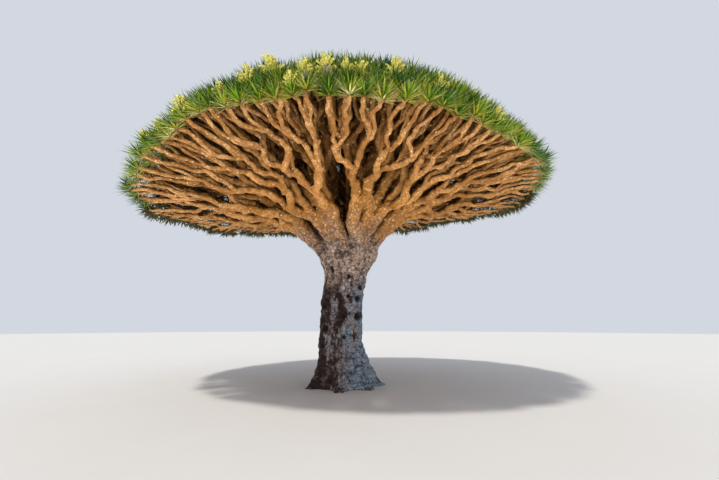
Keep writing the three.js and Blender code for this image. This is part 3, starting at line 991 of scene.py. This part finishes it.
def twig_chunks(tree):
    """Tubes for all that the skin of trunk and boughs leaves out. They start a little inside the skin."""
    limit = tree.wood.bough_limit
    for limb in tree.limbs:
        path, widths = smooth_path(limb.points, limb.radii, TWIG_SPACING)
        path = [wandered(point, tree.wood.wander) for point in path]
        first = next(i for i, width in enumerate(widths) if width < limit)
        first = max(0, first - 2)
        if len(path) - first < 2:
            continue
        sides = THICK_SIDES if widths[first] > THICK_TWIG else THIN_SIDES
        yield limb, tube_arrays(path[first:], widths[first:], sides, TWIG_KNOBS)


# Light from the ground


def ground_rays():
    """Directions down to the ground all round, from nearly level to steep."""
    for i in range(GROUND_RAYS):
        drop = mix(*RAY_DROPS, (i + 0.5) / GROUND_RAYS)
        level = math.sqrt(1 - drop * drop)
        yield Vector((level * math.cos(i * GOLDEN_ANGLE), level * math.sin(i * GOLDEN_ANGLE), -drop))


def mark_sheltered(pieces):
    """Writes from 0 to 1 how much of the ground's light reaches each vertex past all of the wood. The bark
    paints its shade from this.
    """
    corners = []
    triangles = []
    for piece in pieces:
        start = len(corners)
        corners += [vert.co.copy() for vert in piece.data.vertices]
        triangles += [[start + i for i in face.vertices] for face in piece.data.polygons]
    wood = BVHTree.FromPolygons(corners, triangles)
    rays = list(ground_rays())
    for piece in pieces:
        values = np.zeros(len(piece.data.vertices), np.float32)
        for i, vert in enumerate(piece.data.vertices):
            place = vert.co + vert.normal * RAY_START
            facing = (ray for ray in rays if ray.dot(vert.normal) > 0)
            values[i] = sum(wood.ray_cast(place, ray, RAY_REACH)[0] is None for ray in facing) / GROUND_RAYS
        piece.data.attributes.new("ground_light", "FLOAT", "POINT").data.foreach_set("value", values)


# Leaves


def rosette_leaves(tree, leaf, limb):
    """The leaves of one rosette, from the youngest to the oldest.

    Each has a root, a direction, a side that faces up, a length, an age and a chance of its own. They share
    how near their rosette is to the rim and how yellow it is.
    """
    rim = limb.rim_share**tree.crown.crowding
    count = round(mix(leaf.top_count, leaf.rim_count, ramp(rim, *RIM_FILLING)))
    order = np.arange(count)
    age = (order + 0.5) / count
    axis = np.array(limb.axis)
    level = np.cross(axis, ROSETTE_START)
    level /= np.linalg.norm(level)
    other = np.cross(axis, level)
    turn = order * GOLDEN_ANGLE + TAU * dice(limb.number, CHOOSE_TURN)
    chance = np.random.default_rng(limb.number)
    front = ramp(-limb.tip.y, *TOWARDS_FRONT) * ramp(rim, *RIM_CLOSING)
    widest = mix(leaf.inner_tilt, leaf.widest_tilt, front)
    tilt = np.arccos(1 - age * (1 - math.cos(widest))) + chance.normal(0, TILT_SCATTER, count)
    turn = turn + chance.normal(0, TURN_SCATTER, count)
    radial = level * np.cos(turn)[:, None] + other * np.sin(turn)[:, None]
    rise = (LEAF_RISE * (1 - age) - LEAF_SINK)[:, None]
    length = SHORTEST + MIDDLE_GAIN * np.sin(math.pi * np.minimum(1, age + YOUNG_START))
    length = leaf.length * length * chance.uniform(*LENGTH_CHANCES, count)
    length = np.where((age > OLD) & (limb.tip.y > BACK_LINE), BACK_LENGTH * length, length)
    return {
        "root": np.array(wandered(limb.tip, tree.wood.wander)) + axis * rise + radial * LEAF_RING,
        "direction": axis * np.cos(tilt)[:, None] + radial * np.sin(tilt)[:, None],
        "face": axis * np.sin(tilt)[:, None] - radial * np.cos(tilt)[:, None],
        "length": length * (1 - SIDE_LOSS * ramp(abs(limb.tip.x), *TOWARDS_SIDES)),
        "age": age,
        "chance": chance.random(count),
        "rim": np.full(count, rim),
        "yellow": np.full(count, dice(limb.number, CHOOSE_YELLOW)),
    }


def leaf_kinds(leaves):
    """Which leaves have which colour: greens by age and chance, deeper at the crown's sides as painted
    shade, old ones in the shade painted dark, dry lowest ones.
    """
    root, age, chance = leaves["root"], leaves["age"], leaves["chance"]
    side_start, side_run = TOWARDS_SIDES
    aside = np.clip((np.abs(root[:, 0]) - side_start) / side_run, 0, 1)
    yellowness = AGE_WEIGHT * age + CHANCE_WEIGHT * chance + ROSETTE_WEIGHT * leaves["yellow"]
    # Painted shade: the greens turn deeper towards the crown's two sides.
    yellowness -= SIDE_WEIGHT * aside
    # Painted shade: old leaves under the crown, at its back and sooner at its sides, are coloured dark.
    sheltered = (leaves["rim"] < SHADED_RIM) | (root[:, 1] > SHADED_BACK)
    shaded = (age > OLD - SOONER_AT_SIDES * aside) & sheltered
    dry = (age > DRY_AGE) & (chance > DRY_CHANCE) & ~shaded
    kinds = {}
    start = -math.inf
    for kind, end in GREENS:
        kinds[kind] = (yellowness >= start) & (yellowness < end) & ~(shaded | dry)
        start = end
    return {**kinds, "shaded": shaded, "straw": dry}


def leaf_arrays(leaf, leaves, broad):
    """Points and triangles of channelled blades: two rows of three corners and a point."""
    root, direction, face = leaves["root"], leaves["direction"], leaves["face"]
    side = np.cross(direction, face)
    width = leaf.width * broad * np.clip(leaves["length"] / leaf.length, *LEAF_BREADTHS)[:, None]
    run = leaves["length"][:, None]
    sag = np.array((0, 0, -1.0)) * run
    corners = []
    for along, share, drop in LEAF_ROWS:
        middle = root + direction * run * along + sag * (drop * leaf.droop)
        for edge in (-1, 0, 1):
            corners.append(middle + side * width * share * edge + face * width * (LEAF_CHANNEL * abs(edge)))
    corners.append(root + direction * run + sag * leaf.droop)
    points = np.stack(corners, 1)
    triangles = np.array(LEAF_TRIANGLES)[None] + len(corners) * np.arange(len(root))[:, None, None]
    return points.reshape(-1, 3), triangles.reshape(-1, 3)


def map_leaves(mesh):
    """A map of each leaf: across it from 0 to 1, and along it from its root to its point."""
    layer = mesh.uv_layers.new(name="leaf")
    corners = np.zeros(len(mesh.loops), np.int32)
    mesh.loops.foreach_get("vertex_index", corners)
    places = np.array(LEAF_MAP, np.float32)[corners % len(LEAF_MAP)]
    layer.data.foreach_set("uv", places.ravel())


# Blossom


def flowering(tree, blossom):
    """The limbs that carry a panicle: chosen ones near the rim's front, and any by chance elsewhere."""
    chosen = set()
    for kind, places in (("fresh", OPEN_PANICLES), ("dry", DRY_PANICLES)):
        for degrees, share in places:
            place = dome_point(tree.crown, share, math.radians(degrees))
            limb = min(tree.limbs, key=lambda one: (one.tip - place).length)
            if limb.number not in chosen:
                chosen.add(limb.number)
                yield kind, limb
    for limb in tree.limbs:
        share = blossom.share * (FRONT_BLOSSOM if limb.turn < 0 else 1)
        if dice(limb.number, CHOOSE_BLOSSOM) < share and (limb.rim_share < BARE_RIM or limb.turn > 0):
            yield ("dry" if dice(limb.number, CHOOSE_DRY) < DRY_PART else "fresh"), limb


def bud_arrays(places, axes, size):
    """Small closed four-sided buds, one at each place."""
    corners = np.array([(1, 1, 1), (1, -1, -1), (-1, 1, -1), (-1, -1, 1)]) * size
    points = places[:, None] + corners[None] + axes[:, None] * (size * BUD_LIFT)
    pattern = np.array([(0, 1, 2), (0, 3, 1), (0, 2, 3), (1, 3, 2)])
    triangles = pattern[None] + 4 * np.arange(len(places))[:, None, None]
    return points.reshape(-1, 3), triangles.reshape(-1, 3)


def panicle_arrays(blossom, root, axis, number, scale):
    """A stalk with branches all round, each full of buds."""
    chance = np.random.default_rng(number)
    axis = (axis + UP * PANICLE_LEAN).normalized()
    level = axis.cross(PANICLE_START).normalized()
    other = axis.cross(level)
    stalk = blossom.stalk * scale
    chunks = [tube_arrays([root, root + axis * stalk], STALK_RADII, STALK_SIDES)]
    places = []
    outward = []
    for i in range(blossom.branches):
        rise = (i + 1) / blossom.branches
        turn = i * GOLDEN_ANGLE
        tilt = mix(*BRANCH_TILTS, rise**TILT_EXPONENT) + chance.normal(0, BRANCH_SCATTER)
        radial = level * math.cos(turn) + other * math.sin(turn)
        direction = (axis * math.cos(tilt) + radial * math.sin(tilt)).normalized()
        start = root + axis * (stalk * mix(*BRANCH_STARTS, rise))
        end = start + direction * (blossom.size * scale * chance.uniform(*BRANCH_LENGTHS))
        chunks.append(tube_arrays([start, end], BRANCH_RADII, BRANCH_SIDES))
        for k in range(blossom.buds):
            place = start.lerp(end, mix(*BUD_PLACES, k / (blossom.buds - 1)))
            places.append(np.array(place) + chance.normal(0, BUD_SCATTER * scale, 3))
            outward.append(np.array(direction))
    chunks.append(bud_arrays(np.array(places), np.array(outward), BUD_SIZE * scale))
    return join_arrays(chunks)


# Materials


def add_node(tree, kind, inputs=None, **properties):
    node = tree.nodes.new(kind)
    for name, value in properties.items():
        setattr(node, name, value)
    for name, value in (inputs or {}).items():
        if isinstance(value, bpy.types.NodeSocket):
            tree.links.new(value, node.inputs[name])
        else:
            node.inputs[name].default_value = value
    return node


def mixed(tree, factor, first, second, blend="MIX"):
    """A colour mixed from two others, each a colour or a socket."""
    node = tree.nodes.new("ShaderNodeMix")
    node.data_type = "RGBA"
    node.blend_type = blend
    for socket, value in ((node.inputs[0], factor), (node.inputs[6], first), (node.inputs[7], second)):
        if isinstance(value, bpy.types.NodeSocket):
            tree.links.new(value, socket)
        else:
            socket.default_value = value if isinstance(value, float) else (*value, 1.0)
    return node.outputs[2]


def object_place(tree):
    """Where a point lies in its object's own coordinates."""
    return tree.nodes.new("ShaderNodeTexCoord").outputs["Object"]


def noise_pattern(tree, place, scale, detail, roughness=0.5):
    inputs = {"Vector": place, "Scale": scale, "Detail": detail, "Roughness": roughness}
    return add_node(tree, "ShaderNodeTexNoise", inputs).outputs["Fac"]


def ranged(tree, value, low, high, most=1.0):
    inputs = {"Value": value, "From Min": low, "From Max": high, "To Min": 0.0, "To Max": most}
    return add_node(tree, "ShaderNodeMapRange", inputs, interpolation_type="SMOOTHSTEP").outputs["Result"]


def banded(tree, value, low, high, first, second, most=1.0):
    """The first colour where a value is at one end of a band, and most of the second at the other end."""
    return mixed(tree, ranged(tree, value, low, high, most), first, second)


def math_node(tree, operation, first, second):
    node = tree.nodes.new("ShaderNodeMath")
    node.operation = operation
    for socket, value in zip(node.inputs, (first, second)):
        if isinstance(value, bpy.types.NodeSocket):
            tree.links.new(value, socket)
        else:
            socket.default_value = value
    return node.outputs[0]


def scaled(tree, place, scales):
    """A place with each of its coordinates multiplied by a number of its own."""
    return add_node(tree, "ShaderNodeVectorMath", {0: place, 1: scales}, operation="MULTIPLY").outputs[0]


def grain_group():
    """Bark grain from a place: a height, masks of furrows and patches, and how far the next speck is."""
    name = "Bark grain"
    if name in bpy.data.node_groups:
        return bpy.data.node_groups[name]
    group = bpy.data.node_groups.new(name, "ShaderNodeTree")
    group.interface.new_socket("Place", in_out="INPUT", socket_type="NodeSocketVector")
    group.interface.new_socket("Scale", in_out="INPUT", socket_type="NodeSocketFloat").default_value = 20.0
    for output in ("Height", "Furrows", "Patches", "Specks"):
        group.interface.new_socket(output, in_out="OUTPUT", socket_type="NodeSocketFloat")
    start = group.nodes.new("NodeGroupInput")
    end = group.nodes.new("NodeGroupOutput")
    place, scale = start.outputs["Place"], start.outputs["Scale"]
    fine = noise_pattern(group, place, scale, 6.0, 0.65)
    cracks = add_node(
        group, "ShaderNodeTexVoronoi", {"Vector": place, "Scale": scale}, feature="DISTANCE_TO_EDGE"
    )
    patches = noise_pattern(group, place, math_node(group, "MULTIPLY", scale, 0.12), 4.0)
    speck_scale = math_node(group, "MULTIPLY", scale, 0.55)
    specks = add_node(group, "ShaderNodeTexVoronoi", {"Vector": place, "Scale": speck_scale})
    furrows = ranged(group, cracks.outputs["Distance"], 0.0, 0.14)
    height = math_node(group, "ADD", fine, math_node(group, "MULTIPLY", furrows, 0.5))
    group.links.new(height, end.inputs["Height"])
    group.links.new(furrows, end.inputs["Furrows"])
    group.links.new(patches, end.inputs["Patches"])
    group.links.new(specks.outputs["Distance"], end.inputs["Specks"])
    return group


def add_grain(tree, place, scale):
    node = tree.nodes.new("ShaderNodeGroup")
    node.node_tree = grain_group()
    tree.links.new(place, node.inputs["Place"])
    node.inputs["Scale"].default_value = scale
    return node.outputs


def new_material(name, roughness, gloss=0.12):
    material = bpy.data.materials.new(name)
    material.use_nodes = True
    shader = material.node_tree.nodes["Principled BSDF"]
    shader.inputs["Roughness"].default_value = roughness
    shader.inputs["Specular IOR Level"].default_value = gloss
    return material, material.node_tree, shader


def surfaced(tree, shader, color, height, depth, strength=0.8):
    """Gives a material its colour and its fine relief."""
    bump = add_node(tree, "ShaderNodeBump", {"Height": height, "Distance": depth, "Strength": strength})
    tree.links.new(bump.outputs["Normal"], shader.inputs["Normal"])
    tree.links.new(color, shader.inputs["Base Color"])


def bough_color(tree, wood, place, grain, fine):
    """Ochre bark with dark furrows and pale specks, paler to the rim as painted light, and dark as painted
    shade out of the ground's light. The specks are partly painted flecks of sunlight.
    """
    level = scaled(tree, place, (1, 1, 0))
    away = add_node(tree, "ShaderNodeVectorMath", {0: level}, operation="LENGTH").outputs["Value"]
    # Painted light: the bark turns paler towards the rim, where the limbs are most lit.
    outer = banded(tree, away, *PALER_BOUGHS, wood.bark_ochre, wood.bark_tan, 0.75)
    patched = mixed(tree, 0.4, wood.bark_umber, outer)
    lit = banded(tree, grain["Patches"], 0.4, 0.58, patched, outer)
    speckled = mixed(tree, 0.55, lit, wood.bark_umber)
    lit = banded(tree, fine, 0.4, 0.56, speckled, lit)
    furrowed = mixed(tree, 0.45, lit, wood.bark_umber)
    color = banded(tree, grain["Furrows"], 0.0, 0.6, furrowed, lit)
    # Painted shade: bark that little of the ground's light reaches turns dark.
    light = add_node(tree, "ShaderNodeAttribute", attribute_name="ground_light").outputs["Fac"]
    color = banded(tree, light, -0.01, 0.56, wood.bark_painted_shade, color)
    # Pale specks: partly real bark specks, partly painted flecks of sunlight.
    return banded(tree, grain["Specks"], 0.2, 0.08, color, wood.bark_speck)


def twig_bark(wood):
    material, tree, shader = new_material("Twig bark", 0.8)
    place = object_place(tree)
    grain = add_grain(tree, place, TWIG_GRAIN)
    speckle = noise_pattern(tree, place, TWIG_SPECKLE, 4.0)
    color = bough_color(tree, wood, place, grain, speckle)
    surfaced(tree, shader, color, grain["Height"], TWIG_RELIEF, 1.0)
    return material


def trunk_color(tree, wood, place, blots, speckle):
    """Dark bark with a few flecks on the left, painted shade of the trunk's unlit side; slate and rosy
    patches on the right, the slate's blue painted skylight; a pale head above with blots of painted shadow.

    It comes with the height that bark is dealt out by, which drifts up and down from place to place.
    """
    split = add_node(tree, "ShaderNodeSeparateXYZ", {"Vector": place})
    broad = noise_pattern(tree, scaled(tree, place, (1, 1, 0.35)), TRUNK_DRIFT, 6.0, 0.7)
    drift = math_node(tree, "MULTIPLY", math_node(tree, "SUBTRACT", broad, 0.5), 2.8)
    rightward = math_node(tree, "ADD", math_node(tree, "MULTIPLY", split.outputs["X"], 0.7), drift)
    rising = math_node(tree, "ADD", split.outputs["Z"], math_node(tree, "MULTIPLY", drift, 0.7))
    # Painted shade: the trunk's unlit left side is dark with a few rosy flecks.
    fleck = mixed(tree, 0.35, wood.trunk_dark, wood.trunk_rose)
    painted_shade_left = banded(tree, blots, 0.5, 0.62, wood.trunk_dark, fleck)
    # Painted skylight: towards the right the rosy grey turns a sky-lit blue-grey.
    patches = banded(tree, rightward, -0.3, 0.32, wood.trunk_rose, wood.trunk_skylit_slate)
    patches = banded(tree, blots, 0.52, 0.36, patches, wood.trunk_dark, 0.85)
    color = banded(tree, rightward, -0.2, 0.0, painted_shade_left, patches)
    # Painted shadow: dark blots on the pale head, as shade between the boughs.
    shadow = mixed(tree, 0.4, wood.trunk_dark, wood.trunk_rose)
    head = banded(tree, blots, 0.39, 0.57, shadow, wood.trunk_head)
    color = banded(tree, rising, *HEAD_BARK, color, head)
    speckled = mixed(tree, 0.5, color, wood.trunk_dark)
    return banded(tree, speckle, 0.34, 0.6, speckled, color), rising


def trunk_bark(wood):
    material, tree, shader = new_material("Trunk bark", 0.85)
    place = object_place(tree)
    grain = add_grain(tree, place, TRUNK_GRAIN)
    blots = noise_pattern(tree, place, TRUNK_BLOTS, 6.0, 0.7)
    speckle = noise_pattern(tree, place, TRUNK_SPECKLE, 5.0)
    color, rising = trunk_color(tree, wood, place, blots, speckle)
    furrowed = mixed(tree, 0.45, color, wood.trunk_dark)
    color = banded(tree, grain["Furrows"], 0.0, 0.5, furrowed, color)
    scar = add_node(tree, "ShaderNodeAttribute", attribute_name="scar").outputs["Fac"]
    stain = math_node(tree, "ADD", scar, math_node(tree, "MULTIPLY", blots, 0.8))
    color = banded(tree, stain, 0.6, 1.2, color, wood.trunk_dark)
    bough = bough_color(tree, wood, place, grain, speckle)
    color = banded(tree, rising, *BOUGH_BARK, color, bough)
    relief = math_node(tree, "ADD", grain["Height"], math_node(tree, "MULTIPLY", blots, 1.5))
    surfaced(tree, shader, color, relief, TRUNK_RELIEF, 1.0)
    return material


def leaf_group():
    """A leaf's colour, rusty at its root, paler at its point and darker in places, and its fine ribs."""
    name = "Leaf tint"
    if name in bpy.data.node_groups:
        return bpy.data.node_groups[name]
    group = bpy.data.node_groups.new(name, "ShaderNodeTree")
    for label in ("Blade", "Root"):
        group.interface.new_socket(label, in_out="INPUT", socket_type="NodeSocketColor")
    group.interface.new_socket("Color", in_out="OUTPUT", socket_type="NodeSocketColor")
    group.interface.new_socket("Height", in_out="OUTPUT", socket_type="NodeSocketFloat")
    start = group.nodes.new("NodeGroupInput")
    end = group.nodes.new("NodeGroupOutput")
    spread = add_node(group, "ShaderNodeUVMap", uv_map="leaf").outputs["UV"]
    along = add_node(group, "ShaderNodeSeparateXYZ", {"Vector": spread}).outputs["Y"]
    shade = noise_pattern(group, object_place(group), LEAF_SHADES, 3.0)
    color = banded(group, along, 0.0, 0.16, start.outputs["Root"], start.outputs["Blade"])
    color = banded(group, along, 0.6, 1.0, color, mixed(group, 0.35, start.outputs["Blade"], BLEACHED))
    dark = mixed(group, 1.0, color, DULLED, "MULTIPLY")
    color = banded(group, shade, 0.35, 0.6, dark, color)
    ribs = add_node(group, "ShaderNodeTexWave", {"Vector": spread, "Scale": LEAF_RIBS})
    group.links.new(color, end.inputs["Color"])
    group.links.new(ribs.outputs["Fac"], end.inputs["Height"])
    return group


def leaf_material(name, color, rust):
    material, tree, shader = new_material(name, 0.4, 0.35)
    tint = tree.nodes.new("ShaderNodeGroup")
    tint.node_tree = leaf_group()
    tint.inputs["Blade"].default_value = (*color, 1)
    tint.inputs["Root"].default_value = (*rust, 1)
    surfaced(tree, shader, tint.outputs["Color"], tint.outputs["Height"], LEAF_RELIEF, 0.4)
    return material


def blossom_material(name, color):
    material, tree, shader = new_material(name, 0.6)
    shade = noise_pattern(tree, object_place(tree), BLOSSOM_SHADES, 2.0)
    deep = tuple(channel * 0.62 for channel in color)
    surfaced(tree, shader, banded(tree, shade, 0.4, 0.6, deep, color), shade, BLOSSOM_RELIEF)
    return material


# Operators


class TREE_OT_trunk_and_boughs(bpy.types.Operator):
    """Builds the trunk and its boughs as one skin with bark relief"""

    bl_idname = "tree.trunk_and_boughs"
    bl_label = "Build trunk and boughs"

    def execute(self, context):
        tree = Tree(context.scene)
        mesh = fused_wood(tree)
        roughened(mesh)
        cut_at_ground(mesh)
        mesh.polygons.foreach_set("use_smooth", np.full(len(mesh.polygons), True))
        nodes = ["trunk", *nodes_named("bough_")]
        add_piece("trunk_and_boughs", mesh, trunk_bark(tree.wood), nodes)
        return {"FINISHED"}


class TREE_OT_twigs(bpy.types.Operator):
    """Builds the forking twigs between the boughs and the rosettes"""

    bl_idname = "tree.twigs"
    bl_label = "Build twigs"

    def execute(self, context):
        tree = Tree(context.scene)
        bark = twig_bark(tree.wood)
        chunks = {side: [] for side in SECTOR_SIDES}
        for limb, arrays in twig_chunks(tree):
            chunks[limb.part.side].append(arrays)
        for side, parts in chunks.items():
            mesh = mesh_of(f"twigs_{side}", *join_arrays(parts))
            add_piece(f"twigs_{side}", mesh, bark, nodes_named(f"foliage_{side}"))
        return {"FINISHED"}


class TREE_OT_shelter(bpy.types.Operator):
    """Marks how much light from the ground reaches the finished wood"""

    bl_idname = "tree.shelter"
    bl_label = "Mark sheltered wood"

    def execute(self, context):
        pieces = [context.scene.objects.get(name) for name in WOOD_PIECES]
        if None in pieces:
            raise RuntimeError("the trunk, the boughs and the twigs are built first")
        mark_sheltered(pieces)
        return {"FINISHED"}


class TREE_OT_leaves(bpy.types.Operator):
    """Builds the rosettes of leaves, the colours each apart"""

    bl_idname = "tree.leaves"
    bl_label = "Build leaves"

    def execute(self, context):
        leaf = context.scene.tree_leaf
        tree = Tree(context.scene)
        rosettes = [rosette_leaves(tree, leaf, limb) for limb in tree.limbs]
        leaves = {key: np.concatenate([rosette[key] for rosette in rosettes]) for key in rosettes[0]}
        for kind, chosen in leaf_kinds(leaves).items():
            material = leaf_material(f"Leaf {kind}", getattr(leaf, kind), leaf.rust)
            broad = leaf.shaded_width if kind == "shaded" else 1.0
            picked = np.flatnonzero(chosen)
            pieces = math.ceil(len(LEAF_TRIANGLES) * len(picked) / MOST_TRIANGLES)
            for i, share in enumerate(np.array_split(picked, pieces)):
                name = f"leaves_{kind}_{i + 1}"
                blades = {key: values[share] for key, values in leaves.items()}
                mesh = mesh_of(name, *leaf_arrays(leaf, blades, broad))
                map_leaves(mesh)
                add_piece(name, mesh, material, nodes_named("foliage_"))
        return {"FINISHED"}


class TREE_OT_blossom(bpy.types.Operator):
    """Builds the panicles of flowers"""

    bl_idname = "tree.blossom"
    bl_label = "Build blossom"

    def execute(self, context):
        blossom = context.scene.tree_blossom
        tree = Tree(context.scene)
        chunks = {"fresh": [], "dry": []}
        for kind, limb in flowering(tree, blossom):
            root = wandered(limb.tip, tree.wood.wander)
            scale = mix(*PANICLE_SCALES, dice(limb.number, CHOOSE_SCALE))
            scale *= blossom.dry_scale if kind == "dry" else 1
            chunks[kind].append(panicle_arrays(blossom, root, limb.axis, limb.number, scale))
        for kind, parts in chunks.items():
            mesh = mesh_of(f"blossom_{kind}", *join_arrays(parts), smooth=False)
            material = blossom_material(f"Blossom {kind}", getattr(blossom, kind))
            add_piece(f"blossom_{kind}", mesh, material, nodes_named("foliage_"))
        return {"FINISHED"}


class TREE_OT_stage(bpy.types.Operator):
    """Sets up the floor, the lights and the camera"""

    bl_idname = "tree.stage"
    bl_label = "Set the stage"

    def execute(self, context):
        stage = context.scene.tree_stage
        floor = add_floor(stage)
        add_surroundings(context.scene, stage)
        add_lights(stage, floor)
        context.scene.camera = add_camera(stage)
        return {"FINISHED"}


def add_floor(stage):
    bm = bmesh.new()
    bmesh.ops.create_circle(bm, cap_ends=True, segments=FLOOR_SIDES, radius=FLOOR_RADIUS)
    mesh = bpy.data.meshes.new("floor")
    bm.to_mesh(mesh)
    bm.free()
    material, tree, shader = new_material("Pale floor", 0.9)
    shade = noise_pattern(tree, object_place(tree), FLOOR_SHADES, 5.0)
    dull = tuple(channel * 0.95 for channel in stage.floor_color)
    color = mixed(tree, shade, dull, stage.floor_color)
    tree.links.new(color, shader.inputs["Base Color"])
    mesh.materials.append(material)
    floor = bpy.data.objects.new("floor", mesh)
    bpy.context.scene.collection.objects.link(floor)
    floor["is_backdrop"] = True
    return floor


def add_surroundings(scene, stage):
    world = bpy.data.worlds.new("Surroundings")
    world.use_nodes = True
    background = world.node_tree.nodes["Background"]
    background.inputs["Color"].default_value = (*stage.sky_color, 1)
    background.inputs["Strength"].default_value = stage.sky_strength
    scene.world = world
    scene.view_settings.view_transform = "Standard"


def aimed(light, location, target):
    lamp = bpy.data.objects.new(light.name, light)
    lamp.location = location
    lamp.rotation_euler = (Vector(target) - Vector(location)).to_track_quat("-Z", "Y").to_euler()
    bpy.context.scene.collection.objects.link(lamp)
    return lamp


def add_lights(stage, floor):
    """The light from above, and low lights round the tree and under it. The ring leaves the floor alone."""
    others = bpy.data.collections.new("Lit by the low lights")
    others.objects.link(floor)
    others.collection_objects[0].light_linking.link_state = "EXCLUDE"
    key = bpy.data.lights.new("Key", "SUN")
    key.energy = stage.key_strength
    key.angle = math.radians(4)
    key.color = stage.key_color
    aimed(key, KEY_PLACE, KEY_TARGET)
    for i in range(RING_LIGHTS):
        turn = TAU * (i + 0.5) / RING_LIGHTS
        low = bpy.data.lights.new(f"Low {i + 1}", "AREA")
        low.size = RING_SIZE
        low.energy = stage.ring_power * mix(stage.side_share, 1, max(0.0, -math.sin(turn)))
        low.color = stage.ring_color
        place = (RING_REACH * math.cos(turn), RING_REACH * math.sin(turn), RING_HEIGHT)
        lamp = aimed(low, place, RING_TARGET)
        lamp.visible_camera = False
        lamp.light_linking.receiver_collection = others
    fill = bpy.data.lights.new("Fill", "AREA")
    fill.shape = "DISK"
    fill.size = FILL_SIZE
    fill.energy = stage.fill_power
    fill.color = stage.fill_color
    aimed(fill, FILL_PLACE, FILL_TARGET).visible_camera = False


def add_camera(stage):
    camera = bpy.data.cameras.new("Camera")
    camera.sensor_width = 36
    camera.lens = stage.focal_pixels / IMAGE_WIDTH * camera.sensor_width
    camera.clip_end = 300
    viewer = bpy.data.objects.new("Camera", camera)
    viewer.location = (0, -stage.distance, stage.eye_height)
    viewer.rotation_euler = (math.pi / 2 + stage.pitch, 0, -stage.yaw)
    bpy.context.scene.collection.objects.link(viewer)
    return viewer


class TREE_PT_sidebar(bpy.types.Panel):
    """Lists the tree's settings and the steps that build it"""

    bl_label = "Dragon Blood Tree"
    bl_space_type = "VIEW_3D"
    bl_region_type = "UI"
    bl_category = "Tree"

    def draw(self, context):
        layout = self.layout
        for name, _ in SETTINGS:
            settings = getattr(context.scene, name)
            box = layout.box()
            for field in settings.bl_rna.properties:
                if field.identifier not in ("rna_type", "name"):
                    box.prop(settings, field.identifier)
        for operator in OPERATORS:
            layout.operator(operator.bl_idname)


SETTINGS = (
    ("tree_crown", CrownSettings),
    ("tree_wood", WoodSettings),
    ("tree_leaf", LeafSettings),
    ("tree_blossom", BlossomSettings),
    ("tree_stage", StageSettings),
)
OPERATORS = (
    TREE_OT_trunk_and_boughs,
    TREE_OT_twigs,
    TREE_OT_shelter,
    TREE_OT_leaves,
    TREE_OT_blossom,
    TREE_OT_stage,
)


def register():
    for name, settings in SETTINGS:
        bpy.utils.register_class(settings)
        setattr(bpy.types.Scene, name, bpy.props.PointerProperty(type=settings))
    for operator in OPERATORS:
        bpy.utils.register_class(operator)
    bpy.utils.register_class(TREE_PT_sidebar)


def unregister():
    bpy.utils.unregister_class(TREE_PT_sidebar)
    for operator in reversed(OPERATORS):
        bpy.utils.unregister_class(operator)
    for name, settings in reversed(SETTINGS):
        delattr(bpy.types.Scene, name)
        bpy.utils.unregister_class(settings)


def main():
    register()
    bpy.ops.tree.trunk_and_boughs()
    bpy.ops.tree.twigs()
    bpy.ops.tree.shelter()
    bpy.ops.tree.leaves()
    bpy.ops.tree.blossom()
    bpy.ops.tree.stage()
    boxes = {"cad": cad_box, "visual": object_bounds()}
    plain = {name: [list(corner) for corner in box] for name, box in boxes.items()}


if __name__ == "__main__":
    main()
